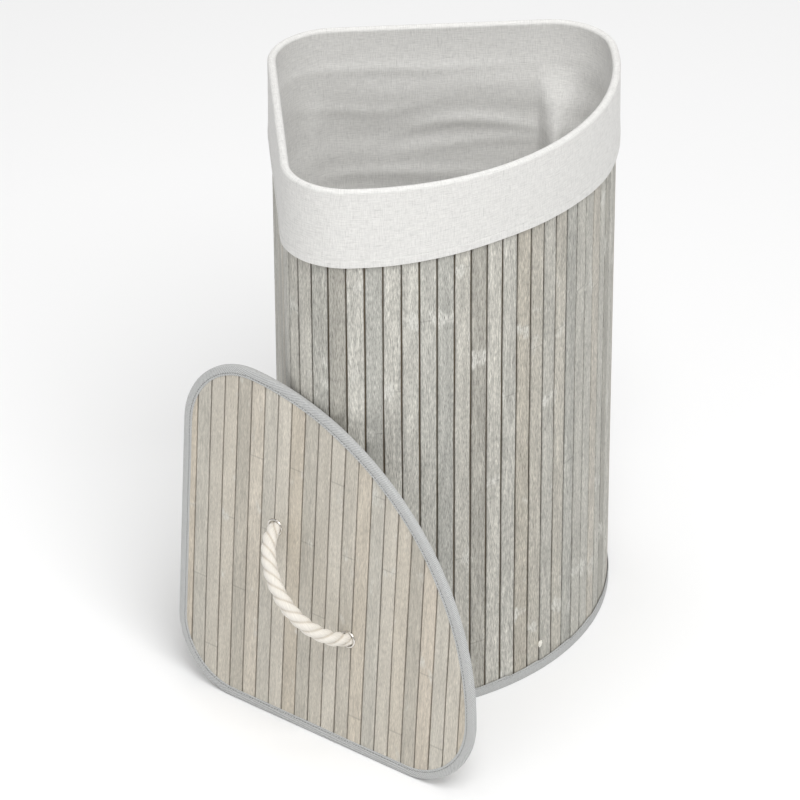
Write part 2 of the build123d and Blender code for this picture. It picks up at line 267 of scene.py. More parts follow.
def new_piece(name, points, faces, material, place=None, uvs=None, tones=None, sharp=35.0):
    """A mesh piece at the origin, with closed shells turned outwards and smooth faces.

    uvs gives (u, v) in metres for each corner of each face, and tones a number for each point, kept as the
    tone attribute: for a slat its own tone, for the rope the depth of painted shade in its hollows.
    """
    mesh = bpy.data.meshes.new(name)
    mesh.from_pydata([place @ Vector(p) for p in points] if place else points, [], faces)
    if uvs:
        layer = mesh.uv_layers.new(name="cloth")
        layer.data.foreach_set("uv", [c for face in uvs for corner in face for c in corner])
    if tones:
        tone = mesh.attributes.new("tone", "FLOAT", "POINT")
        tone.data.foreach_set("value", tones)
    work = bmesh.new()
    work.from_mesh(mesh)
    bmesh.ops.recalc_face_normals(work, faces=work.faces)
    work.to_mesh(mesh)
    work.free()
    mesh.shade_smooth()
    mesh.set_sharp_from_angle(angle=math.radians(sharp))
    mesh.materials.append(material)
    piece = bpy.data.objects.new(name, mesh)
    bpy.context.collection.objects.link(piece)
    return piece


def applied(piece):
    """The piece with its modifiers made part of its mesh."""
    bpy.context.view_layer.update()
    graph = bpy.context.evaluated_depsgraph_get()
    mesh = bpy.data.meshes.new_from_object(
        piece.evaluated_get(graph), preserve_all_data_layers=True, depsgraph=graph
    )
    piece.modifiers.clear()
    piece.data = mesh
    return piece


def grid_faces(columns, rows, close_columns=False, close_rows=False):
    """Faces of a grid of points that is numbered up each column in turn."""
    faces = []
    for i in range(columns if close_columns else columns - 1):
        for j in range(rows if close_rows else rows - 1):
            i2, j2 = (i + 1) % columns, (j + 1) % rows
            faces.append((i * rows + j, i2 * rows + j, i2 * rows + j2, i * rows + j2))
    return faces


def grid_uvs(columns, rows, spot):
    """Corner places for a grid's faces. spot gives the place at a column and row."""
    corners = ((0, 0), (1, 0), (1, 1), (0, 1))
    return [[spot(i + a, j + b) for a, b in corners] for i in range(columns) for j in range(rows)]


def lengths(points):
    """Running length at each point of a line."""
    total = [0.0]
    for a, b in zip(points, points[1:]):
        total.append(total[-1] + (Vector(b) - Vector(a)).length)
    return total


def swept(outline, columns, section_at):
    """Points of a section carried round the outline, and each column's distance, up to the whole length."""
    around = [outline.length * i / columns for i in range(columns + 1)]
    points = []
    for distance in around[:-1]:
        for inset, height in section_at(distance):
            points.append((*outline.at(distance, inset)[0], height))
    return points, around


def tape_ring(name, outline, place, profile, material, columns, wander):
    """A closed tape swept round the outline. profile lists (inset, height) round the tape's section."""

    def section_at(distance):
        shifts = [wander(distance, j) for j in range(len(profile))]
        return [(inset + aside, height + up) for (inset, height), (aside, up) in zip(profile, shifts)]

    points, around = swept(outline, columns, section_at)
    across = lengths([(*p, 0) for p in profile + profile[:1]])
    faces = grid_faces(columns, len(profile), True, True)
    uvs = grid_uvs(columns, len(profile), lambda i, j: (around[i], across[j]))
    return new_piece(name, points, faces, material, place, uvs)


# ---------------------------------------------------------------------------------------------
# Node helpers


def set_inputs(node, inputs):
    """Set a node's sockets. Each gets a value, another node's output, or a node, for its first output."""
    for socket, value in inputs.items():
        if isinstance(value, bpy.types.Node):
            value = value.outputs[0]
        if isinstance(value, bpy.types.NodeSocket):
            node.id_data.links.new(value, node.inputs[socket])
        else:
            node.inputs[socket].default_value = value


def add_node(tree, kind, inputs=None, **settings):
    """Add a node with its settings, and with the values and links of its sockets."""
    node = tree.nodes.new(kind)
    for name, value in settings.items():
        setattr(node, name, value)
    set_inputs(node, inputs or {})
    return node


def new_material(name):
    """An empty material, its node tree and its surface shader."""
    material = bpy.data.materials.new(name)
    material.use_nodes = True
    tree = material.node_tree
    tree.nodes.clear()
    shader = add_node(tree, "ShaderNodeBsdfPrincipled")
    add_node(tree, "ShaderNodeOutputMaterial", {"Surface": shader})
    return material, tree, shader


def rgba(values):
    return (*values, 1.0)


def stretched_noise(tree, place, size_of_marks, detail, roughness=0.5):
    """Noise whose marks have this size, in metres, along each axis of a place."""
    scale = [1 / metres for metres in size_of_marks]
    stretched = add_node(tree, "ShaderNodeVectorMath", {0: place, 1: scale}, operation="MULTIPLY")
    sockets = {"Vector": stretched, "Scale": 1.0, "Detail": detail, "Roughness": roughness}
    return add_node(tree, "ShaderNodeTexNoise", sockets).outputs["Fac"]


def tinted(tree, under, value, low, high, least, most):
    """The colour under, times least where value is low and most where it is high."""
    sockets = {"Value": value, "From Min": low, "From Max": high, "To Min": least, "To Max": most}
    grey = add_node(tree, "ShaderNodeMapRange", sockets)
    sockets = {"Factor": 1.0, 6: under, 7: grey}
    return add_node(tree, "ShaderNodeMix", sockets, data_type="RGBA", blend_type="MULTIPLY").outputs[2]


# ---------------------------------------------------------------------------------------------
# Materials

# A cane has a node about every third of a metre
NODE_SPACING = 330 * MM


def washed_bamboo(name, dark, pale, contrast):
    """Split bamboo, grey-washed and left matt: fine fibres along each slat, and pale scuffed nodes.

    Each slat has its own tone, which also shifts its grain.
    """
    material, tree, shader = new_material(name)
    tone = add_node(tree, "ShaderNodeAttribute", attribute_name="tone").outputs["Fac"]
    place = add_node(tree, "ShaderNodeAttribute", attribute_name="slat_place").outputs["Vector"]
    jump = add_node(tree, "ShaderNodeVectorMath", {0: (31.0, 17.0, 43.0), "Scale": tone}, operation="SCALE")
    moved = add_node(tree, "ShaderNodeVectorMath", {0: place, 1: jump}, operation="ADD").outputs[0]
    fibres, streaks, clouds, rubs = (
        stretched_noise(tree, moved, (across * MM, across * MM, along * MM), detail, 0.6)
        for across, along, detail in ((0.6, 5.5, 4.0), (2.2, 45, 3.0), (14, 70, 2.0), (16, 26, 2.0))
    )

    hue = add_node(tree, "ShaderNodeValToRGB", {"Fac": tone})
    stops = hue.color_ramp.elements
    middle = [(a + b) / 2 for a, b in zip(dark, pale)]
    warm = [pale[0] * 0.97, pale[1] * 0.91, pale[2] * 0.86]
    for stop, value in zip(stops, (middle, warm)):
        stop.color = rgba(value)
    for position, value in (
        (0.16, pale),
        (0.32, dark),
        (0.48, [middle[0] * 0.98, middle[1], middle[2] * 1.02]),
        (0.64, pale),
        (0.8, [middle[0] * 1.03, middle[1] * 0.99, middle[2] * 0.94]),
        (0.92, [pale[0], pale[1] * 0.98, pale[2] * 0.96]),
    ):
        stops.new(position).color = rgba(value)
    shown = hue.outputs["Color"]
    for marks_of, amount in ((clouds, 0.1), (streaks, 0.14), (fibres, 0.42)):
        amount *= contrast
        shown = tinted(tree, shown, marks_of, 0.3, 0.7, 1 - amount, 1 + amount * 0.75)

    # A slat is darker along its eased edges: partly the wash lying thinner there, partly painted shade where
    # the edge turns down into the gap
    across = add_node(tree, "ShaderNodeSeparateXYZ", {"Vector": place}).outputs["X"]
    aside = add_node(tree, "ShaderNodeMath", {0: across}, operation="ABSOLUTE")
    shown = tinted(tree, shown, aside, 7.1 * MM, 8.1 * MM, 1.0, 0.8)

    # The cane's nodes: at each, a thin dark line across the slat in a pale, rubbed patch
    off = add_node(tree, "ShaderNodeSeparateXYZ", {"Vector": moved}).outputs["Z"]
    for operation, amount in (
        ("MULTIPLY", 1 / NODE_SPACING),
        ("FLOORED_MODULO", 1.0),
        ("SUBTRACT", 0.5),
        ("MULTIPLY", NODE_SPACING),
        ("ABSOLUTE", 0.0),
    ):
        off = add_node(tree, "ShaderNodeMath", {0: off, 1: amount}, operation=operation)
    shown = tinted(tree, shown, off, 1.1 * MM, 0.5 * MM, 1.0, 0.8)
    near = {"Value": off, "From Min": 16 * MM, "From Max": 2 * MM, "To Max": 0.15 * contrast**2}
    patch = add_node(tree, "ShaderNodeMapRange", near)
    marked = add_node(tree, "ShaderNodeMath", {0: rubs, 1: patch}, operation="ADD")
    scuff = add_node(tree, "ShaderNodeMapRange", {"Value": marked, "From Min": 0.66, "From Max": 0.78})
    fleck = add_node(tree, "ShaderNodeMapRange", {"Value": fibres, "From Min": 0.38, "From Max": 0.58})
    both = add_node(tree, "ShaderNodeMath", {0: scuff, 1: fleck}, operation="MULTIPLY")
    sockets = {0: both, 6: shown, 7: rgba(linear("#d5d4cd"))}
    rubbed = add_node(tree, "ShaderNodeMix", sockets, data_type="RGBA")

    rough = add_node(tree, "ShaderNodeMapRange", {"Value": streaks, "To Min": 0.5, "To Max": 0.72})
    bump = add_node(tree, "ShaderNodeBump", {"Height": fibres, "Strength": 0.35, "Distance": 0.3 * MM})
    set_inputs(shader, {"Base Color": rubbed.outputs[2], "Roughness": rough, "Normal": bump})
    return material


def woven(name, base, thread, slub, contrast, rough, diagonal=False):
    """Cloth of crossed threads, thread metres apart, with thicker slubs slub metres long.

    A twill's threads float over several others, which draws fine slanting ribs.
    """
    material, tree, shader = new_material(name)
    uv = add_node(tree, "ShaderNodeUVMap", uv_map="cloth")

    def threads(turn, along, width):
        """Noise drawn out along the threads."""
        turned = add_node(tree, "ShaderNodeMapping", {"Vector": uv, "Rotation": (0, 0, turn)})
        return stretched_noise(tree, turned, (along, width, 1.0), 2.0, 0.65)

    if diagonal:
        turn = math.radians(38)
        turned = add_node(tree, "ShaderNodeMapping", {"Vector": uv, "Rotation": (0, 0, turn)})
        # A wave's band is pi / 10 wide at scale 1, and a rib is 1.6 threads wide
        ribs = math.pi / (10 * thread * 1.6)
        sockets = {"Vector": turned, "Scale": ribs, "Distortion": 0.8, "Detail": 1.0}
        weft = add_node(tree, "ShaderNodeTexWave", sockets, bands_direction="Y").outputs["Fac"]
        warp = threads(turn + math.pi / 2, slub * 0.4, thread * 2.5)
        low, high, slubbed = 0.45, 1.35, 0.2
    else:
        turn = 0.0
        weft = threads(turn, slub, thread)
        warp = threads(turn + math.pi / 2, slub * 0.8, thread)
        low, high, slubbed = 0.75, 1.25, 0.7
    weave = add_node(tree, "ShaderNodeMath", {0: weft, 1: warp}, operation="ADD")
    shown = tinted(tree, rgba(base), weave, low, high, 1 - contrast, 1.0)
    for heading in (turn, turn + math.pi / 2):
        thick = threads(heading, slub * 1.5, thread * 1.6)
        shown = tinted(tree, shown, thick, 0.6, 0.72, 1.0, 1 - contrast * slubbed)
    bump = add_node(tree, "ShaderNodeBump", {"Height": weave, "Strength": 0.7, "Distance": 0.4 * MM})
    set_inputs(shader, {"Base Color": shown, "Roughness": rough, "Sheen Weight": 0.15, "Normal": bump})
    return material


def plain_cloth(name, base, thread):
    """Flat plain weave on a glued or sealed face: a fine even square mesh, placed by object coordinates."""
    material, tree, shader = new_material(name)
    place = add_node(tree, "ShaderNodeTexCoord").outputs["Object"]
    upright, level = (
        stretched_noise(tree, place, (thread / side, thread / side, thread / up), 1.0)
        for side, up in ((1.0, 0.15), (0.15, 1.0))
    )
    weave = add_node(tree, "ShaderNodeMath", {0: upright, 1: level}, operation="ADD")
    shown = tinted(tree, rgba(base), weave, 0.7, 1.3, 0.75, 1.05)
    bump = add_node(tree, "ShaderNodeBump", {"Height": weave, "Strength": 0.3, "Distance": 0.2 * MM})
    set_inputs(shader, {"Base Color": shown, "Roughness": 0.9, "Normal": bump})
    return material


def fibreboard(name):
    """Medium-density fibreboard: pressed wood fibre, an even brown with fine darker flecks."""
    material, tree, shader = new_material(name)
    place = add_node(tree, "ShaderNodeTexCoord").outputs["Object"]
    flecks = add_node(tree, "ShaderNodeTexNoise", {"Vector": place, "Scale": 900.0, "Detail": 3.0})
    hue = add_node(tree, "ShaderNodeValToRGB", {"Fac": flecks.outputs["Fac"]})
    for stop, shade in zip(hue.color_ramp.elements, ("#574a3c", "#7d6e5b")):
        stop.color = rgba(linear(shade))
    set_inputs(shader, {"Base Color": hue, "Roughness": 0.85})
    return material


def nickel(name, roughness):
    """Nickel-plated steel: bright and slightly warm, with fine wear that blurs its gloss in patches."""
    material, tree, shader = new_material(name)
    place = add_node(tree, "ShaderNodeTexCoord").outputs["Object"]
    wear = add_node(tree, "ShaderNodeTexNoise", {"Vector": place, "Scale": 400.0, "Detail": 3.0})
    sockets = {"Value": wear.outputs["Fac"], "To Min": roughness * 0.7, "To Max": roughness * 1.4}
    rough = add_node(tree, "ShaderNodeMapRange", sockets)
    set_inputs(shader, {"Base Color": rgba(linear("#dcd8d2")), "Metallic": 1.0, "Roughness": rough})
    return material


def twisted_cotton(name, base):
    """Soft cotton yarn: fine hairy yarns that run along the strands, and painted shade in the hollows
    between them.

    The tone attribute is 1 at the bottom of a hollow, where the painted shade is darkest.
    """
    material, tree, shader = new_material(name)
    uv = add_node(tree, "ShaderNodeUVMap", uv_map="cloth")
    yarns = stretched_noise(tree, uv, (14 * MM, 0.8 * MM, 1.0), 3.0)
    hollow_shade = add_node(tree, "ShaderNodeAttribute", attribute_name="tone").outputs["Fac"]
    # Painted shade: the deeper in a hollow between the strands, the more the cotton is mixed towards a
    # darker colour
    sockets = {0: hollow_shade, 6: rgba(base), 7: rgba(linear("#d0c7b9"))}
    hue = add_node(tree, "ShaderNodeMix", sockets, data_type="RGBA").outputs[2]
    bump = add_node(tree, "ShaderNodeBump", {"Height": yarns, "Strength": 0.6, "Distance": 0.4 * MM})
    surface = {
        "Base Color": tinted(tree, hue, yarns, 0.3, 0.7, 0.86, 1.02),
        "Roughness": 0.85,
        "Sheen Weight": 0.3,
        "Subsurface Weight": 0.08,
        "Subsurface Radius": (1.0, 0.9, 0.8),
        "Subsurface Scale": 1.5 * MM,
        "Normal": bump,
    }
    set_inputs(shader, surface)
    return material


def material_of(name, make, *values):
    """The material of this name, made the first time it is asked for."""
    return bpy.data.materials.get(name) or make(name, *values)


def binding_twill():
    return material_of("binding_twill", woven, colours().tape, 1.05 * MM, 6 * MM, 0.42, 0.8, True)


def liner_linen():
    return material_of("liner_linen", woven, colours().linen, 1.0 * MM, 11 * MM, 0.2, 0.9)


def cotton_rope():
    return material_of("cotton_rope", twisted_cotton, colours().rope)


def sewing_thread():
    # Grey thread, darker than the twill: its colour also paints the shade along the row of stitch holes
    return material_of("sewing_thread", plain_cloth, linear("#8b8c8b"), 0.5 * MM)


# ---------------------------------------------------------------------------------------------
# Geometry Nodes trees


def node_tree(name, **inputs):
    """A Geometry Nodes tree with a mesh in and out and inputs of these kinds, and its inputs' sockets."""
    tree = bpy.data.node_groups.new(name, "GeometryNodeTree")
    tree.interface.new_socket(name="Geometry", in_out="OUTPUT", socket_type="NodeSocketGeometry")
    for label, kind in {"Geometry": "Geometry", **inputs}.items():
        tree.interface.new_socket(name=label, in_out="INPUT", socket_type="NodeSocket" + kind)
    return tree, add_node(tree, "NodeGroupInput").outputs


def finish_tree(tree, instances, given, change=None):
    """End a tree: its instances made real, changed if it says how, smoothed and painted."""
    real = add_node(tree, "GeometryNodeRealizeInstances", {"Geometry": instances})
    changed = change(real) if change else real
    smooth = add_node(tree, "GeometryNodeSetShadeSmooth", {"Geometry": changed, "Shade Smooth": True})
    painted = add_node(tree, "GeometryNodeSetMaterial", {"Geometry": smooth, "Material": given["Material"]})
    add_node(tree, "NodeGroupOutput", {"Geometry": painted})
    return tree


def run_tree(piece, tree, values):
    """Run a tree on a piece with these named values, and keep the result as its mesh."""
    modifier = piece.modifiers.new(tree.name, "NODES")
    modifier.node_group = tree
    for socket in tree.interface.items_tree:
        if socket.in_out == "INPUT" and socket.name in values:
            modifier[socket.identifier] = values[socket.name]
    return applied(piece)


def facing(tree):
    """Rotation that turns X to the mark's run attribute, about Z, and that attribute."""
    run = add_node(tree, "GeometryNodeInputNamedAttribute", {"Name": "run"}, data_type="FLOAT_VECTOR")
    turned = add_node(tree, "FunctionNodeAlignRotationToVector", {"Vector": run}, axis="X")
    return turned, run


def slat_tree():
    """A slat on every mark: a strip with eased edges, a tone of its own and sides that waver a little."""
    sizes_in = {label: "Float" for label in ("Width", "Thickness", "Length", "Easing", "Waver")}
    tree, given = node_tree("slat_wall", **sizes_in, Seed="Int", Material="Material")
    sides = {"Width": given["Width"], "Height": given["Thickness"]}
    section = add_node(tree, "GeometryNodeCurvePrimitiveQuadrilateral", sides)
    easing = {"Curve": section, "Radius": given["Easing"], "Count": 3}
    eased = add_node(tree, "GeometryNodeFilletCurve", easing, mode="POLY")
    top = add_node(tree, "ShaderNodeCombineXYZ", {"Z": given["Length"]})
    line = add_node(tree, "GeometryNodeCurvePrimitiveLine", {"End": top})
    stations = add_node(tree, "GeometryNodeResampleCurve", {"Curve": line, "Count": 40})
    bar = {"Curve": stations, "Profile Curve": eased, "Fill Caps": True}
    strip = add_node(tree, "GeometryNodeCurveToMesh", bar)
    half = add_node(tree, "ShaderNodeMath", {0: given["Thickness"], 1: 0.5}, operation="MULTIPLY")
    inwards = add_node(tree, "ShaderNodeCombineXYZ", {"Y": half})
    set_back = add_node(tree, "GeometryNodeTransform", {"Geometry": strip, "Translation": inwards})
    where = add_node(tree, "GeometryNodeInputPosition")
    store = {"Geometry": set_back, "Name": "slat_place", "Value": where}
    slat = add_node(
        tree, "GeometryNodeStoreNamedAttribute", store, data_type="FLOAT_VECTOR", domain="POINT"
    )
    rotation, run = facing(tree)
    between = {0: (0.95, 1.0, 1.0), 1: (1.0, 1.0, 1.0), "Seed": given["Seed"]}
    widths = add_node(tree, "FunctionNodeRandomValue", between, data_type="FLOAT_VECTOR")
    stood = {"Points": given["Geometry"], "Instance": slat, "Rotation": rotation, "Scale": widths}
    slats = add_node(tree, "GeometryNodeInstanceOnPoints", stood)
    chance = add_node(tree, "FunctionNodeRandomValue", {"Seed": given["Seed"]}, data_type="FLOAT")
    store = {"Geometry": slats, "Name": "tone", "Value": chance.outputs[1]}
    toned = add_node(tree, "GeometryNodeStoreNamedAttribute", store, data_type="FLOAT", domain="INSTANCE")

    def wavering(real):
        """The slats with sides that wander along the wall, each in its own way."""
        tone = add_node(tree, "GeometryNodeInputNamedAttribute", {"Name": "tone"}, data_type="FLOAT")
        height = add_node(tree, "ShaderNodeSeparateXYZ", {"Vector": where}).outputs["Z"]
        up = add_node(tree, "ShaderNodeMath", {0: height, 1: 9.0}, operation="MULTIPLY")
        own = add_node(tree, "ShaderNodeMath", {0: tone, 1: 83.0}, operation="MULTIPLY")
        spot = add_node(tree, "ShaderNodeCombineXYZ", {"X": up, "Y": own})
        bend = add_node(tree, "ShaderNodeTexNoise", {"Vector": spot, "Scale": 1.0, "Detail": 2.0})
        centred = add_node(tree, "ShaderNodeMath", {0: bend.outputs["Fac"], 1: 0.5}, operation="SUBTRACT")
        far = add_node(tree, "ShaderNodeMath", {0: centred, 1: given["Waver"]}, operation="MULTIPLY")
        shift = add_node(tree, "ShaderNodeVectorMath", {0: run, "Scale": far}, operation="SCALE")
        return add_node(tree, "GeometryNodeSetPosition", {"Geometry": real, "Offset": shift})

    return finish_tree(tree, toned, given, wavering)


def stitch_tree():
    """A stitch on every mark: a short thread that dips into the cloth at both ends."""
    sizes_in = {label: "Float" for label in ("Length", "Thickness", "Unevenness")}
    tree, given = node_tree("stitch_row", **sizes_in, Seed="Int", Material="Material")
    bead = add_node(tree, "GeometryNodeMeshUVSphere", {"Segments": 8, "Rings": 5, "Radius": 0.5})
    sides = {"X": given["Length"], "Y": given["Thickness"], "Z": given["Thickness"]}
    shape = add_node(tree, "ShaderNodeCombineXYZ", sides)
    thread = add_node(tree, "GeometryNodeTransform", {"Geometry": bead.outputs["Mesh"], "Scale": shape})
    rotation, _ = facing(tree)
    least = add_node(tree, "ShaderNodeMath", {0: 1.0, 1: given["Unevenness"]}, operation="SUBTRACT")
    between = {2: least, 3: 1.0, "Seed": given["Seed"]}
    chance = add_node(tree, "FunctionNodeRandomValue", between, data_type="FLOAT").outputs[1]
    sewn = {"Points": given["Geometry"], "Instance": thread, "Rotation": rotation, "Scale": chance}
    return finish_tree(tree, add_node(tree, "GeometryNodeInstanceOnPoints", sewn), given)


def marks(name, places):
    """Loose points with a run attribute, for a tree to put its shapes on. places lists (point, run)."""
    mesh = bpy.data.meshes.new(name)
    mesh.from_pydata([p for p, _ in places], [], [])
    run = mesh.attributes.new("run", "FLOAT_VECTOR", "POINT")
    run.data.foreach_set("vector", [c for _, r in places for c in r])
    piece = bpy.data.objects.new(name, mesh)
    bpy.context.collection.objects.link(piece)
    return piece


def row_marks(outline, place, inset, height, count):
    """Marks evenly spaced round an outline. inset and height are numbers or functions of the distance."""
    places = []
    turn = place.to_3x3()
    for i in range(count):
        distance = outline.length * i / count
        deep = inset(distance) if callable(inset) else inset
        high = height(distance) if callable(height) else height
        (x, y), (out_x, out_y) = outline.at(distance, deep)
        places.append((place @ Vector((x, y, high)), turn @ Vector((-out_y, out_x, 0))))
    return places


def stitches(name, places, thickness, seed, material):
    """A row of stitches on marks."""
    tree = bpy.data.node_groups.get("stitch_row") or stitch_tree()
    values = {
        "Length": sizes().stitch * 0.72,
        "Thickness": thickness,
        "Unevenness": 0.2,
        "Seed": seed,
        "Material": material,
    }
    return run_tree(marks(name, places), tree, values)


# ---------------------------------------------------------------------------------------------
# Operators: one for each piece or group of like pieces


WALL_SLAT_NODES = [name for name in frame["nodes"] if name.startswith("wall_slats")]
SLAT_RECESS = 1.6 * MM
SLAT_PITCH = 17.8 * MM


class HAMPER_OT_wall_slats(bpy.types.Operator):
    """Stand the wall's slats round the outline, with a gap in the middle of the front"""

    bl_idname = "hamper.wall_slats"
    bl_label = "Wall Slats"

    def execute(self, context):
        s = sizes()
        outline = bin_outline()
        low, high = (corner.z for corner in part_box("wall_slats_left"))
        rail_length = outline.length - 2 * math.pi * SLAT_RECESS
        count = 2 * round(rail_length / SLAT_PITCH / 2)
        pitch = rail_length / count
        places = []
        for i in range(count):
            distance = rail_distance(outline, SLAT_RECESS, (i + 0.5) * pitch)
            (x, y), (out_x, out_y) = outline.at(distance, SLAT_RECESS)
            place = bin_place()
            places.append((place @ Vector((x, y, low)), place.to_3x3() @ Vector((-out_y, out_x, 0))))
        shades = colours().wall_dark, colours().wall_pale
        bamboo = material_of("grey_washed_bamboo", washed_bamboo, *shades, 1.25)
        values = {
            "Width": pitch - s.slat_gap,
            "Thickness": s.slat_thickness,
            "Length": high - low,
            "Easing": 0.85 * MM,
            "Waver": 1.8 * MM,
            "Seed": 7,
            "Material": bamboo,
        }
        wall = run_tree(marks("wall_slats", places), slat_tree(), values)
        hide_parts(*WALL_SLAT_NODES)
        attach(wall, "hamper")
        return {"FINISHED"}


def rail_distance(outline, inset, past_middle):
    """Distance round the outline of the point past_middle beyond the front's middle on an inset rail."""
    rail = [s[0] if len(s) == 3 else s[0] * (s[2] - inset) / s[2] for s in outline.stretches]
    left = (rail[0] + rail[1] + rail[2] / 2 + past_middle) % sum(rail)
    distance = 0.0
    for stretch, run in zip(outline.stretches, rail):
        if left <= run:
            return distance + left * stretch[0] / run
        left -= run
        distance += stretch[0]
    return distance


class HAMPER_OT_wall_cloth(bpy.types.Operator):
    """Give the wall's backing cloth, seam tape and hoop their finish"""

    bl_idname = "hamper.wall_cloth"
    bl_label = "Wall Backing"

    def execute(self, context):
        backing = material_of("brown_backing_canvas", plain_cloth, colours().gap, 0.8 * MM)
        seam = material_of("grey_seam_canvas", plain_cloth, colours().tape, 0.8 * MM)
        finishes = {
            "wall_backing_cloth": backing,
            "wall_seam_tape": seam,
            "rim_hoop": material_of("plated_hoop_steel", nickel, 0.4),
        }
        paint(finishes)
        return {"FINISHED"}


def paint(finishes):
    """Give CAD nodes their materials."""
    for name, material in finishes.items():
        mesh = frame["nodes"][name].data
        mesh.materials.clear()
        mesh.materials.append(material)


TAPE_THICKNESS = 0.7 * MM
BOTTOM_TUCKS = 27
WALL_BINDING_DEPTH = 4.9 * MM
RIM_INSET = 0.3 * MM


def tape_section(inset_outer, inset_inner, bottom, top, opens_up):
    """Section of a tape folded over an edge, with rounded folds, as (inset, height) round its outline."""
    fold, open_edge = (bottom, top) if opens_up else (top, bottom)
    sign = 1 if opens_up else -1
    thickness = TAPE_THICKNESS
    ease = thickness * 0.9
    outside = [
        (inset_outer, open_edge),
        (inset_outer, open_edge - sign * (abs(top - bottom)) / 2),
        (inset_outer, fold + sign * ease * 1.6),
        (inset_outer + ease * 0.45, fold + sign * ease * 0.45),
        (inset_outer + ease * 1.6, fold),
        ((inset_outer + inset_inner) / 2, fold),
        (inset_inner - ease * 1.6, fold),
        (inset_inner - ease * 0.45, fold + sign * ease * 0.45),
        (inset_inner, fold + sign * ease * 1.6),
        (inset_inner, open_edge),
    ]
    inside = [
        (inset_inner - thickness, open_edge),
        (inset_inner - thickness, fold + sign * thickness),
        (inset_outer + thickness, fold + sign * thickness),
        (inset_outer + thickness, open_edge - sign * (abs(top - bottom)) / 2),
        (inset_outer + thickness, open_edge),
    ]
    return outside + inside


class HAMPER_OT_wall_bindings(bpy.types.Operator):
    """Fold the twill bindings over the wall's bottom and top edges, and stitch them"""

    bl_idname = "hamper.wall_bindings"
    bl_label = "Wall Bindings"

    def execute(self, context):
        outline = bin_outline()
        place = bin_place()
        twill = binding_twill()
        low, high = (corner.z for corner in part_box("wall_bottom_binding"))

        def pucker(distance, row):
            """The tape is pulled in a little at the stitches, and its upper edge wanders."""
            free = row in (0, 14)
            tuck = (distance / outline.length * BOTTOM_TUCKS + 0.3 * wave(distance * 9, 3.1, 0.0)) % 1
            up = (1.9 * min(tuck, (1 - tuck) * 8) - 1.2) * MM if free else 0.0
            shift = 0.5 * MM * wave(distance * 60, row * 0.7, 5.0) if row in (0, 1, 13, 14) else 0.0
            return max(shift, 0.0), up

        section = tape_section(0.0, WALL_BINDING_DEPTH, low, high, True)
        bottom = tape_ring("bottom_tape", outline, place, section, twill, 360, pucker)
        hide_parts("wall_bottom_binding")
        rim_low, rim_high = (corner.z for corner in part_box("wall_top_binding"))
        section = tape_section(RIM_INSET, WALL_BINDING_DEPTH, rim_low, rim_high, False)
        top = tape_ring("rim_tape", outline, place, section, twill, 240, lambda distance, row: (0.0, 0.0))
        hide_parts("wall_top_binding")
        count = round(outline.length / sizes().stitch)
        thread = sewing_thread()
        for name, inset, height, seed in (
            ("bottom_stitches", 0.0, high - 2.2 * MM, 11),
            ("top_stitches", RIM_INSET, rim_low + 2.2 * MM, 12),
        ):
            places = row_marks(outline, place, inset, height, count)
            row = stitches(name, places, 0.5 * MM, seed, thread)
            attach(row, "hamper")
        for piece in (bottom, top):
            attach(piece, "hamper")
        return {"FINISHED"}


class HAMPER_OT_base(bpy.types.Operator):
    """Finish the base board, its covers and skirt, and tie the small knot in front"""

    bl_idname = "hamper.base"
    bl_label = "Base"

    def execute(self, context):
        grey = material_of("grey_base_canvas", plain_cloth, linear("#a7a6a3"), 1.0 * MM)
        board = material_of("fibreboard", fibreboard)
        cord = material_of("tie_cord_cotton", plain_cloth, linear("#f8f5ec"), 0.6 * MM)
        paint({"base_cover_bottom": grey, "base_cover_top": grey, "base_skirt": grey})
        paint({"base_board": board, "base_tie": cord})
        knot = tie_knot(cord)
        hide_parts("base_tie_knot")
        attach(knot, "hamper")
        return {"FINISHED"}


def heading(line, i):
    """The direction of a line at one of its points."""
    return (line[min(i + 1, len(line) - 1)] - line[max(i - 1, 0)]).normalized()


def tube(line, radius, sides):
    """Points and faces of a round tube along a line, rounded off at its ends."""
    line = [Vector(p) for p in line]
    points = []
    across = (line[1] - line[0]).orthogonal().normalized()
    for i, here in enumerate(line):
        ahead = heading(line, i)
        across = (across - ahead * across.dot(ahead)).normalized()
        other = ahead.cross(across)
        for j in range(sides):
            angle = 2 * math.pi * j / sides
            points.append(here + (across * math.cos(angle) + other * math.sin(angle)) * radius)
    faces = grid_faces(len(line), sides, False, True)
    for ring, tip, back in ((0, line[0], line[1]), (len(line) - 1, line[-1], line[-2])):
        points.append(tip + (tip - back).normalized() * radius * 0.6)
        for j in range(sides):
            faces.append((ring * sides + j, ring * sides + (j + 1) % sides, len(points) - 1))
    return points, faces


def tie_knot(material):
    """The small knot of the tie, drawn up against the slats, with its two short ends."""
    low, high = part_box("base_tie_knot")
    middle = (low + high) / 2
    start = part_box("base_tie")
    out = (middle - (start[0] + start[1]) / 2).normalized()
    up = Vector((0, 0, 1))
    side = up.cross(out)
    loop = []
    for i in range(49):
        t = 2 * math.pi * i / 48
        around = 1.5 + 0.5 * math.cos(3 * t)
        spot = side * around * math.cos(2 * t) + up * around * 1.2 * math.sin(2 * t)
        loop.append(middle + (spot + out * 0.55 * math.sin(3 * t)) * MM)
    lines = [loop]
    for turn in (1, -1):
        ends = ((0.7, 0.0, 0.5), (2.0, 0.7, 0.8), (3.2, 1.3, 0.3))
        lines.append([middle + (up * u * turn + side * s * turn + out * o) * MM for u, s, o in ends])
    points, faces = [], []
    for line in lines:
        more, more_faces = tube(line, 0.95 * MM, 10)
        faces += [tuple(i + len(points) for i in face) for face in more_faces]
        points += more
    return new_piece("tie_reef_knot", points, faces, material)


# Liner ----------------------------------------------------------------------------------------

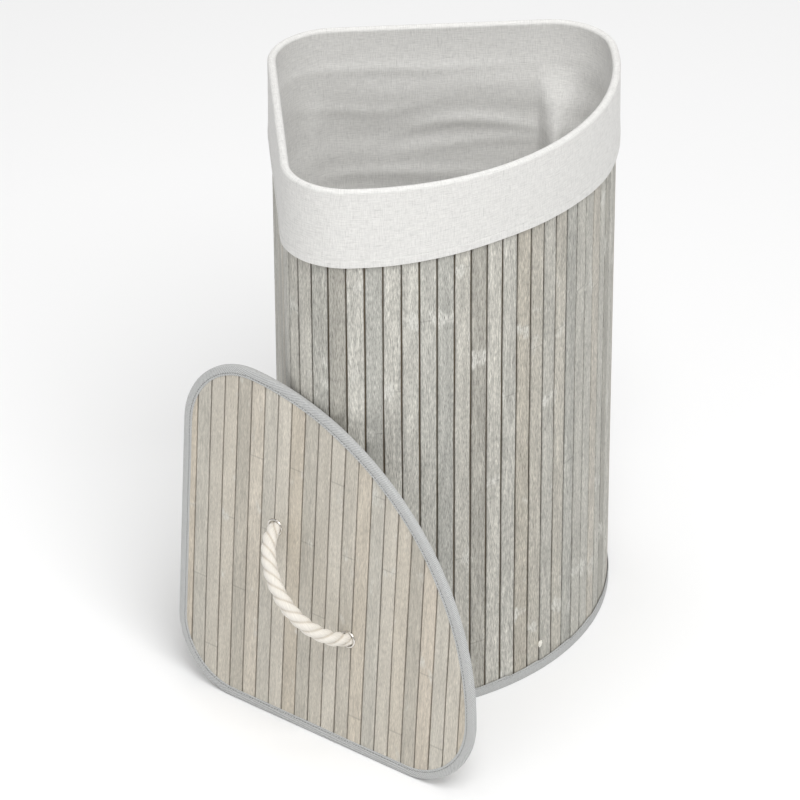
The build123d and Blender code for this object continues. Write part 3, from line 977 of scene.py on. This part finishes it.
CUFF_PROUD = 1.3 * MM
LINER_INSET = 6.0 * MM
LINEN_THICKNESS = 0.8 * MM


def cuff_drop(outline, distance):
    """How far the cuff hangs down: a little less round the middle of the front."""
    off_middle = (distance - outline.middle() + 40 * MM) / (120 * MM)
    return sizes().cuff_height + 1.8 * MM - 6.5 * MM * math.exp(-off_middle * off_middle)


def swell(value, width):
    """1 in the middle of a soft ridge, falling to 0 away from it."""
    return math.exp(-((value / width) ** 2))


def ramped(value, start, end):
    """0 before start, 1 after end, and smooth between."""
    share = min(max((value - start) / (end - start), 0.0), 1.0)
    return share * share * (3 - 2 * share)


def liner_folds(outline, distance, depth):
    """How far the bag's side stands in from the wall at a distance round it and a depth below the rim."""
    below = ramped(depth, 10 * MM, 90 * MM)
    soft = 0.5 + 0.5 * wave(distance * 5.0, depth * 13.0, 2.0)
    ripple = 0.5 + 0.5 * wave(distance * 9.0, depth * 38.0, 8.0)
    shift = below * (6.0 * soft + 4.0 * ripple) * MM
    back = outline.length - outline.stretches[5][0] - outline.stretches[4][0]
    along = distance - back
    if along < -300 * MM:
        along += outline.length
    # Long slack folds that hang in shallow curves across the back
    for middle, deep, bow, reach, high in (
        (150 * MM, 46 * MM, -0.2, 150 * MM, 1.6 * MM),
        (70 * MM, 106 * MM, 2.2, 72 * MM, 3.0 * MM),
        (60 * MM, 128 * MM, 1.5, 80 * MM, 2.4 * MM),
        (185 * MM, 92 * MM, -1.8, 70 * MM, 1.8 * MM),
        (-62 * MM, 112 * MM, -2.0, 46 * MM, 2.4 * MM),
        (150 * MM, 160 * MM, 1.0, 90 * MM, 2.6 * MM),
    ):
        off = along - middle
        line = deep + bow * off * off + 4 * MM * wave(distance * 12, deep * 90, 1.0)
        shift += 0.7 * high * swell(depth - line, 6 * MM) * swell(off, reach)
    # A deep tuck where the back meets the end corner
    shown = ramped(depth, 45 * MM, 130 * MM) * (1 - ramped(depth, 230 * MM, 380 * MM))
    lean = 4 * MM - (depth - 90 * MM) * 0.05
    side = along - lean
    bulge = swell(side + 20 * MM, 26 * MM) * (1 - ramped(side, -4 * MM, 4 * MM))
    shift += 27 * MM * shown * bulge
    # Fold lines left from packing, and soft pleats
    for spot, width, high in (
        (186 * MM, 2.6 * MM, 1.3 * MM),
        (166 * MM, 2.6 * MM, 1.1 * MM),
        (115 * MM, 3.0 * MM, 0.8 * MM),
        (240 * MM, 12 * MM, 4.0 * MM),
        (430 * MM, 14 * MM, 4.0 * MM),
        (-160 * MM, 12 * MM, 3.0 * MM),
    ):
        shift += high * swell(along - spot, width) * ramped(depth, 60 * MM, 110 * MM)
    return shift


def cuff_stand(distance, height, share):
    """How far the cuff stands off the wall, where share runs from 0 at the fold to 1 at its lower edge."""
    stand = 0.9 * MM * share**2 + 0.7 * MM * share * wave(distance * 16, height * 20, 4.0)
    stand += 0.35 * MM * wave(distance * 45, height * 45, 9.0)
    return CUFF_PROUD + max(stand, -0.2 * MM)


def hem_inset(outline, distance, top, rise):
    """Inset of the cuff's outer face at a height above its lower edge."""
    drop = cuff_drop(outline, distance)
    return -cuff_stand(distance, top - drop + rise, 1 - rise / drop)


def liner_profile(outline, distance, top, floor):
    """The liner's section at one place: from the cuff's hem, over the rim, to the bottom of the bag."""
    drop = cuff_drop(outline, distance)
    middle = (LINER_INSET - CUFF_PROUD) / 2 + LINEN_THICKNESS / 2
    round_off = (LINER_INSET + LINEN_THICKNESS + CUFF_PROUD) / 2
    section = []
    rows = 22
    for j in range(rows):
        height = top - drop + (drop - round_off) * j / (rows - 1)
        stand = cuff_stand(distance, height, 1 - j / (rows - 1))
        section.append((LINEN_THICKNESS / 2 - stand, height))
    for j in range(1, 8):
        angle = math.pi * j / 8
        inset = middle - round_off * math.cos(angle)
        section.append((inset, top - round_off + round_off * math.sin(angle) - LINEN_THICKNESS / 2))
    rows = 110
    for j in range(rows):
        share = j / (rows - 1)
        height = top - round_off - (top - round_off - floor) * (0.45 * share + 0.55 * share**2.2)
        eased = min((height - floor) / (30 * MM), 1.0)
        fold = liner_folds(outline, distance, top - height) * eased
        section.append((LINER_INSET + LINEN_THICKNESS / 2 + fold, height))
    return section


def thickened(piece):
    """The piece with the linen's thickness."""
    thick = piece.modifiers.new("cloth thickness", "SOLIDIFY")
    thick.thickness = LINEN_THICKNESS
    thick.offset = 0.0
    return applied(piece)


def drop_loose(piece):
    """Remove points that no face uses."""
    work = bmesh.new()
    work.from_mesh(piece.data)
    bmesh.ops.delete(work, geom=[v for v in work.verts if not v.link_faces], context="VERTS")
    work.to_mesh(piece.data)
    work.free()


def liner_bag(outline, place, top, linen):
    """The liner's side and cuff in one sheet, and the length of its section."""
    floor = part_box("liner_side")[0].z + 0.4 * MM
    columns = 330
    points, around = swept(outline, columns, lambda d: liner_profile(outline, d, top, floor))
    along = lengths([(*p, 0) for p in liner_profile(outline, around[-2], top, floor)])
    faces = grid_faces(columns, len(along), True)
    uvs = grid_uvs(columns, len(along) - 1, lambda i, j: (around[i], along[j]))
    liner = thickened(new_piece("liner", points, faces, linen, place, uvs, sharp=180))
    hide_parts("liner_side", "liner_cuff")
    return liner, along[-1]


def liner_hem(outline, place, top, linen):
    """The hem's extra thickness: a rounded band along the cuff's lower edge."""
    columns = 260
    scale = sizes().hem_height / (9 * MM)
    section = [(-0.1, 0.3), (-0.55, 0.0), (-0.95, 0.4), (-1.0, 2.5), (-0.95, 6.0), (-0.8, 8.4), (-0.35, 9.0)]
    section.append((-0.1, 8.7))

    def section_at(distance):
        base = top - cuff_drop(outline, distance)
        spots = []
        for inset, rise in section:
            up = rise * MM * scale
            edge = hem_inset(outline, distance, top, up) + LINEN_THICKNESS * 0.8
            spots.append((edge + inset * MM, base + up - 0.3 * MM))
        return spots

    points, around = swept(outline, columns, section_at)
    across = lengths([(inset * MM, rise * MM, 0) for inset, rise in section + section[:1]])
    faces = grid_faces(columns, len(section), True, True)
    uvs = grid_uvs(columns, len(section), lambda i, j: (around[i], across[j]))
    hem = new_piece("liner_hem", points, faces, linen, place, uvs)
    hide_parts("liner_cuff_hem")
    return hem


def liner_floor(outline, place, linen):
    """The bag's bottom: a soft sheet on the base, with low creases towards its corners."""
    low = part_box("liner_bottom")[0].z
    rings, columns = 16, 120
    centre = sizes().side * 0.42
    points, faces = [], []
    for ring in range(rings + 1):
        share = ring / rings
        for i in range(columns):
            (x, y), _ = outline.at(outline.length * i / columns, LINER_INSET + LINEN_THICKNESS)
            x, y = centre + (x - centre) * share, centre + (y - centre) * share
            crease = 1.6 * MM * (0.5 + 0.5 * wave(x * 14, y * 14, 6.0)) * min(1.0, 4 * (1 - share))
            points.append((x, y, low + LINEN_THICKNESS / 2 + crease))
    for ring in range(rings):
        near, far = ring * columns, (ring + 1) * columns
        for i in range(columns):
            after = (i + 1) % columns
            # The innermost ring is one point
            quad = (near + i, near + after, far + after, far + i)
            faces.append(quad if ring else (far + i, 0, far + after))
    uvs = [[points[i][:2] for i in face] for face in faces]
    sheet = thickened(new_piece("bag_bottom", points, faces, linen, place, uvs, sharp=180))
    drop_loose(sheet)
    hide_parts("liner_bottom")
    return sheet


class HAMPER_OT_liner(bpy.types.Operator):
    """Hang the linen liner in the bin, fold its cuff out over the rim, and hem it"""

    bl_idname = "hamper.liner"
    bl_label = "Liner"

    def execute(self, context):
        outline = bin_outline()
        place = bin_place()
        linen = liner_linen()
        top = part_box("liner_cuff")[1].z
        liner, section_length = liner_bag(outline, place, top, linen)
        hem = liner_hem(outline, place, top, linen)
        bottom = liner_floor(outline, place, linen)
        rise = sizes().hem_height - 0.6 * MM
        places = row_marks(
            outline,
            place,
            lambda d: hem_inset(outline, d, top, rise) - 0.15 * MM,
            lambda d: top - cuff_drop(outline, d) + rise,
            round(outline.length / sizes().stitch),
        )
        thread = material_of("hem_thread", plain_cloth, linear("#dcdcd9"), 0.5 * MM)
        row = stitches("hem_stitches", places, 0.45 * MM, 13, thread)
        for piece in (liner, hem, bottom, row):
            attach(piece, "liner")
        return {"FINISHED"}


# Lid ------------------------------------------------------------------------------------------

LID_THICKNESS = 7 * MM
LID_PITCH = 16.9 * MM
LID_FIRST_GAP = 17.3 * MM


class HAMPER_OT_lid_panel(bpy.types.Operator):
    """Lay the lid's slats, each cut to the outline, on its board, with a cloth lining behind"""

    bl_idname = "hamper.lid_panel"
    bl_label = "Lid Panel"

    def execute(self, context):
        outline = lid_outline()
        shades = colours().lid_dark, colours().lid_pale
        bamboo = material_of("pale_washed_bamboo", washed_bamboo, *shades, 0.75)
        face = -0.7 * MM
        back = face - sizes().slat_thickness
        points, faces, tones, grain = [], [], [], []
        count = round((LID_SIDE - LID_FIRST_GAP) / LID_PITCH) + 1
        tuck = 1.2 * MM
        for k in range(count):
            middle = LID_FIRST_GAP - LID_PITCH / 2 + k * LID_PITCH
            half = (LID_PITCH - sizes().slat_gap) / 2
            left = max(middle - half, tuck + 0.1 * MM)
            right = min(middle + half, LID_SIDE - tuck - 1.2 * MM)
            tone = (0.618034 * (k + 1) + 0.21) % 1.0
            self.slat(outline, left, right, middle, face, back, tuck, tone, points, faces, tones, grain)
        slats = new_piece("lid_slat_row", points, faces, bamboo, lid_place(), tones=tones)
        place = slats.data.attributes.new("slat_place", "FLOAT_VECTOR", "POINT")
        place.data.foreach_set("vector", [c for g in grain for c in g])
        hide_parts("lid_slats")
        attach(slats, "lid")
        paint(
            {
                "lid_board": material_of("brown_board_canvas", plain_cloth, colours().gap, 1.0 * MM),
                "lid_lining": material_of("grey_lining_canvas", plain_cloth, linear("#b4b3b0"), 1.0 * MM),
            }
        )
        return {"FINISHED"}

    def slat(self, outline, left, right, middle, face, back, tuck, tone, points, faces, tones, grain):
        """One slat as a closed bar with eased edges, whose ends follow the lid's outline."""
        ease = min(0.7 * MM, (right - left) / 5)
        corner = ((0.0, face - ease), (ease * 0.3, face - ease * 0.3), (ease, face))
        section = [(left, back)] + [(left + x, z) for x, z in corner]
        section += [(left + (right - left) * i / 4, face) for i in (1, 2, 3)]
        section += [(right - x, z) for x, z in reversed(corner)] + [(right, back)]
        rows = 30
        start = len(points)
        for j in range(rows):
            share = j / (rows - 1)
            for x, z in section:
                low, high = outline.reach(x, tuck)
                y = low + (high - low) * share
                bend = 0.4 * MM * wave(tone * 83.0, y * 9.0, 1.0)
                points.append((x + bend, y, z))
                tones.append(tone)
                grain.append((x - middle, z, y))
        width = len(section)
        faces += [tuple(start + i for i in f) for f in grid_faces(rows, width, False, True)]
        faces.append(tuple(start + i for i in range(width)))
        faces.append(tuple(start + (rows - 1) * width + i for i in range(width)))


class HAMPER_OT_lid_binding(bpy.types.Operator):
    """Fold the twill binding round the lid's edge, and stitch it on both faces"""

    bl_idname = "hamper.lid_binding"
    bl_label = "Lid Binding"

    def execute(self, context):
        outline = lid_outline()
        place = lid_place()
        width = sizes().tape_width
        tape = TAPE_THICKNESS
        deep = LID_THICKNESS
        ease = 1.1 * MM
        section = [
            (width, -tape * 0.9),
            (width - 0.3 * MM, -0.1 * MM),
            (width - 1.8 * MM, 0.05 * MM),
            (width - 2.6 * MM, -0.45 * MM),
            (width - 3.5 * MM, 0.05 * MM),
            (width / 2, -0.05 * MM),
            (ease * 1.8, 0.0),
            (ease * 0.5, -ease * 0.5),
            (0.0, -ease * 1.8),
            (0.0, -deep / 2),
            (0.0, -deep + ease * 1.8),
            (ease * 0.5, -deep + ease * 0.5),
            (ease * 1.8, -deep),
            (width / 2, -deep + 0.05 * MM),
            (width - 0.4 * MM, -deep + 0.1 * MM),
            (width, -deep + tape * 0.9),
            (tape * 1.2, -deep + tape),
            (tape * 1.2, -tape),
        ]

        def wander(distance, row):
            """The tape's two edges run a little unevenly, and it puckers at the stitches."""
            edge = {0: 1.0, 1: 1.0, 2: 1.0, 14: 1.0, 15: 1.0}.get(row, 0.0)
            side = 0.0 if row < 10 else 4.0
            shift = edge * 0.7 * MM * wave(distance * 17, side, 2.0)
            lift = 0.3 * MM * wave(distance * 150, row * 0.9, 7.0) if row in (2, 4, 5) else 0.0
            return shift, min(lift, 0.0)

        binding = tape_ring("lid_tape", outline, place, section, binding_twill(), 420, wander)
        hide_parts("lid_binding")
        count = round(outline.length / sizes().stitch)
        rows = []
        for name, height, seed in (("lid_stitches", 0.0, 21), ("lid_back_stitches", -deep, 22)):
            sink = 0.25 * MM if height == 0.0 else 0.0
            places = row_marks(outline, place, width - 2.6 * MM, height - sink, count)
            rows.append(stitches(name, places, 0.8 * MM, seed, sewing_thread()))
        for piece in [binding] + rows:
            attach(piece, "lid")
        return {"FINISHED"}


class HAMPER_OT_eyelets(bpy.types.Operator):
    """Set a rolled nickel eyelet in each of the lid's two holes"""

    bl_idname = "hamper.eyelets"
    bl_label = "Eyelets"

    def execute(self, context):
        metal = material_of("eyelet_nickel", nickel, 0.16)
        # Radius and height, in millimetres, from the barrel's inside over the rolled rim and down again
        section = [
            (7.0, -7.1), (7.0, -1.0), (7.05, -0.2), (7.25, 0.4), (7.7, 0.75), (8.2, 0.75), (8.7, 0.5),
            (9.05, 0.0), (9.2, -0.6), (8.9, -0.7), (7.6, -0.7), (7.5, -1.2), (7.5, -7.1),
        ]
        turns = 56
        points, faces = [], []
        for place in hole_places():
            start = len(points)
            for i in range(turns):
                angle = 2 * math.pi * i / turns
                for radius, height in section:
                    spot = Vector((radius * math.cos(angle), radius * math.sin(angle), height)) * MM
                    points.append(place @ spot)
            ring = grid_faces(turns, len(section), True, True)
            faces += [tuple(start + i for i in face) for face in ring]
        eyelets = new_piece("rolled_eyelets", points, faces, metal, sharp=50)
        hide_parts("lid_eyelets")
        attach(eyelets, "lid")
        paint({"lid_eyelet_washers": metal})
        return {"FINISHED"}


# Rope -----------------------------------------------------------------------------------------

# The rope's route along the line of its holes and out of the lid, in metres, from knot to knot
ROPE_ROUTE = [
    (-0.0660, -0.0068), (-0.0656, 0.0005), (-0.0618, 0.0090), (-0.0530, 0.0216), (-0.0306, 0.0380),
    (0.0012, 0.0462), (0.0322, 0.0394), (0.0538, 0.0222), (0.0618, 0.0092), (0.0656, 0.0005),
    (0.0660, -0.0068),
]


def smooth_line(points):
    """Points along the smooth NURBS line that has these control points."""
    curve = bpy.data.curves.new("route", "CURVE")
    curve.dimensions = "3D"
    curve.resolution_u = 24
    spline = curve.splines.new("NURBS")
    spline.points.add(len(points) - 1)
    for point, place in zip(spline.points, points):
        point.co = (*place, 1.0)
    spline.order_u = 3
    spline.use_endpoint_u = True
    holder = bpy.data.objects.new("route", curve)
    mesh = bpy.data.meshes.new_from_object(holder)
    line = [v.co.copy() for v in mesh.vertices]
    bpy.data.objects.remove(holder)
    bpy.data.curves.remove(curve)
    bpy.data.meshes.remove(mesh)
    return line


def crown_knots():
    """A crown knot behind each hole: the rope's strands tucked round each other into a button."""
    points, faces, tones, uvs = [], [], [], []
    sides, steps = 14, 120
    radius = 3.4 * MM
    for place in hole_places():
        loop = []
        for i in range(steps):
            t = 2 * math.pi * i / steps
            around = 6.9 + 3.0 * math.cos(3 * t)
            spot = (around * math.cos(2 * t), around * math.sin(2 * t), -14.2 + 3.5 * math.sin(3 * t))
            loop.append(place @ (Vector(spot) * MM))
        start = len(points)
        travel = lengths(loop + loop[:1])
        back = (place.to_3x3() @ Vector((0, 0, 1))).normalized()
        for i, here in enumerate(loop):
            ahead = (loop[(i + 1) % steps] - loop[i - 1]).normalized()
            across = ahead.cross(back).normalized()
            other = across.cross(ahead)
            for j in range(sides):
                angle = 2 * math.pi * j / sides
                ridge = math.cos(5 * angle + travel[i] * 900)
                reach = radius * (1 + 0.05 * ridge)
                points.append(here + (across * math.cos(angle) + other * math.sin(angle)) * reach)
                # Painted shade in the grooves between the tucked strands
                tones.append(0.25 * (1 - ridge) / 2)
        faces += [tuple(start + i for i in f) for f in grid_faces(steps, sides, True, True)]
        uvs += grid_uvs(steps, sides, lambda i, j: (travel[i], j / sides * 21 * MM))
        hub = [place @ (Vector((0, 0, z)) * MM) for z in (-8.0, -11.0, -14.0, -17.0, -18.5)]
        more, more_faces = tube(hub, 4.2 * MM, 16)
        faces += [tuple(i + len(points) for i in face) for face in more_faces]
        uvs += [[(i * MM, 0.0) for i in range(len(face))] for face in more_faces]
        points += more
        # The hub inside the knot gets a little painted shade
        tones += [0.3] * len(more)
    return new_piece("crown_knots", points, faces, cotton_rope(), None, uvs, tones, sharp=60)


def laid_rope(line, travel, flat, out, face):
    """Three strands laid up round a line. flat is square to its plane, and out points off the lid."""
    s = sizes()
    radius = s.rope / 2
    strand = radius / 2
    deepest = radius * 0.6
    sides = 42
    full = 2 * math.pi
    points, tones = [], []
    for i, here in enumerate(line):
        other = heading(line, i).cross(flat)
        # The rope is drawn in a little where it goes into its holes
        slim = 0.91 + 0.09 * min(max(((here - face).dot(out) - 2 * MM) / (13 * MM), 0.0), 1.0)
        slim *= 1 + 0.018 * wave(travel[i] * 60, 0.0, 3.0)
        lay = -full * travel[i] / s.rope_lay
        for j in range(sides):
            angle = full * j / sides
            turns = [(angle - lay - full * k / 3 + math.pi) % full - math.pi for k in range(3)]
            nearest = min(abs(turn) for turn in turns)
            reach = strand * math.cos(nearest) + math.sqrt(strand**2 - (strand * math.sin(nearest)) ** 2)
            reach = radius - (radius - reach) * 0.5
            points.append(here + (flat * math.cos(angle) + other * math.sin(angle)) * reach * slim)
            # Painted shade: the deeper a point lies in a hollow between the strands, the darker the cotton
            # is painted
            hollow_shade = 2 * (radius - reach) / (radius - deepest)
            tones.append(min(max(hollow_shade, 0.0), 1.0) ** 6)

    def yarn_place(row, column):
        """The yarns slant across each strand."""
        turned = column / sides * 2 * math.pi * radius
        return travel[row] + turned * 0.25, turned - travel[row] * 0.35

    faces = grid_faces(len(line), sides, False, True)
    uvs = grid_uvs(len(line) - 1, sides, yarn_place)
    for ring in (0, len(line) - 1):
        faces.append(tuple(ring * sides + j for j in range(sides)))
        uvs.append([(0.0, 0.0)] * sides)
    return new_piece("laid_rope", points, faces, cotton_rope(), None, uvs, tones, sharp=60)


class HAMPER_OT_rope(bpy.types.Operator):
    """Lay up the three-strand rope handle, and crown its ends behind the lid"""

    bl_idname = "hamper.rope"
    bl_label = "Rope Handle"

    def execute(self, context):
        place = handle_place()
        line = smooth_line([place @ Vector((x, y, 0)) for x, y in ROPE_ROUTE])
        travel = lengths(line)
        flat = (place.to_3x3() @ Vector((0, 0, 1))).normalized()
        out = (place.to_3x3() @ Vector((0, 1, 0))).normalized()
        face = place.to_translation()
        rope = laid_rope(line, travel, flat, out, face)
        knots = crown_knots()
        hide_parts("rope_handle", "rope_necks")
        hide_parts("rope_knots")
        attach(knots, "lid")
        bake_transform(rope)
        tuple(line[0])
        return {"FINISHED"}


# Stage ----------------------------------------------------------------------------------------

CAMERA_PLACE = (-0.3670, -4.0213, 2.6878)
CAMERA_YAW = 0.078
CAMERA_PITCH = 0.541
CAMERA_ROLL = -0.005
CAMERA_LENS = 210.0


class HAMPER_OT_stage(bpy.types.Operator):
    """Set up the pale floor, the soft lights and the camera"""

    bl_idname = "hamper.stage"
    bl_label = "Stage"

    def execute(self, context):
        scene = context.scene
        scene.view_settings.view_transform = "Standard"
        floor_mesh = bpy.data.meshes.new("floor")
        reach = 12.0
        corners = [(x * reach, y * reach, 0) for x, y in ((-1, -1), (1, -1), (1, 1), (-1, 1))]
        floor_mesh.from_pydata(corners, [], [(0, 1, 2, 3)])
        floor = bpy.data.objects.new("floor", floor_mesh)
        context.collection.objects.link(floor)
        paper, _, shader = new_material("floor_paper")
        set_inputs(shader, {"Base Color": rgba(linear("#f7f7f7")), "Roughness": 0.95})
        floor_mesh.materials.append(paper)
        world = scene.world or bpy.data.worlds.new("studio")
        scene.world = world
        world.use_nodes = True
        sky = world.node_tree.nodes.get("Background")
        set_inputs(sky, {"Color": (1.0, 1.0, 1.0, 1.0), "Strength": 0.5})
        for name, place, aim, width, power in (
            ("key_light", (0.6, -2.6, 4.1), (0.0, 0.0, 0.4), 2.5, 132.0),
            ("fill_light", (-2.4, -2.8, 2.0), (0.0, 0.0, 0.3), 2.0, 12.0),
            ("top_light", (0.0, 0.5, 4.4), (0.0, 0.0, 0.0), 2.4, 44.0),
        ):
            light = bpy.data.lights.new(name, "AREA")
            light.shape = "SQUARE"
            light.size = width
            light.energy = power
            lamp = bpy.data.objects.new(name, light)
            lamp.location = place
            lamp.rotation_euler = (Vector(aim) - Vector(place)).to_track_quat("-Z", "Y").to_euler()
            context.collection.objects.link(lamp)
        yaw, pitch, roll = CAMERA_YAW, CAMERA_PITCH, CAMERA_ROLL
        ahead = Vector((math.sin(yaw) * math.cos(pitch), math.cos(yaw) * math.cos(pitch), -math.sin(pitch)))
        right = Vector((math.cos(yaw), -math.sin(yaw), 0))
        up = right.cross(ahead)
        rolled = right * math.cos(roll) + up * math.sin(roll)
        up = up * math.cos(roll) - right * math.sin(roll)
        lens = bpy.data.cameras.new("camera")
        lens.sensor_width = 36.0
        lens.lens = CAMERA_LENS
        lens.clip_end = 100.0
        camera = bpy.data.objects.new("camera", lens)
        camera.matrix_world = placed(rolled, up, -ahead, Vector(CAMERA_PLACE))
        context.collection.objects.link(camera)
        scene.camera = camera
        return {"FINISHED"}


OPERATORS = (
    HAMPER_OT_stage,
    HAMPER_OT_rope,
    HAMPER_OT_wall_slats,
    HAMPER_OT_wall_cloth,
    HAMPER_OT_wall_bindings,
    HAMPER_OT_base,
    HAMPER_OT_liner,
    HAMPER_OT_lid_panel,
    HAMPER_OT_lid_binding,
    HAMPER_OT_eyelets,
)


class HAMPER_PT_panel(bpy.types.Panel):
    """Sizes, colours and pieces of the hamper"""

    bl_idname = "HAMPER_PT_panel"
    bl_label = "Laundry Hamper"
    bl_space_type = "VIEW_3D"
    bl_region_type = "UI"
    bl_category = "Hamper"

    def draw(self, context):
        for group in (context.scene.hamper_sizes, context.scene.hamper_colours):
            for name in type(group).__annotations__:
                self.layout.prop(group, name)
        for operator in OPERATORS:
            self.layout.operator(operator.bl_idname)


CLASSES = (HamperSizes, HamperColours, *OPERATORS, HAMPER_PT_panel)


def register():
    for cls in CLASSES:
        bpy.utils.register_class(cls)
    bpy.types.Scene.hamper_sizes = bpy.props.PointerProperty(type=HamperSizes)
    bpy.types.Scene.hamper_colours = bpy.props.PointerProperty(type=HamperColours)


def unregister():
    del bpy.types.Scene.hamper_sizes
    del bpy.types.Scene.hamper_colours
    for cls in reversed(CLASSES):
        bpy.utils.unregister_class(cls)


def main():
    register()
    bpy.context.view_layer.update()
    for operator in OPERATORS:
        group, name = operator.bl_idname.split(".")
        getattr(getattr(bpy.ops, group), name)()


if __name__ == "__main__":
    main()
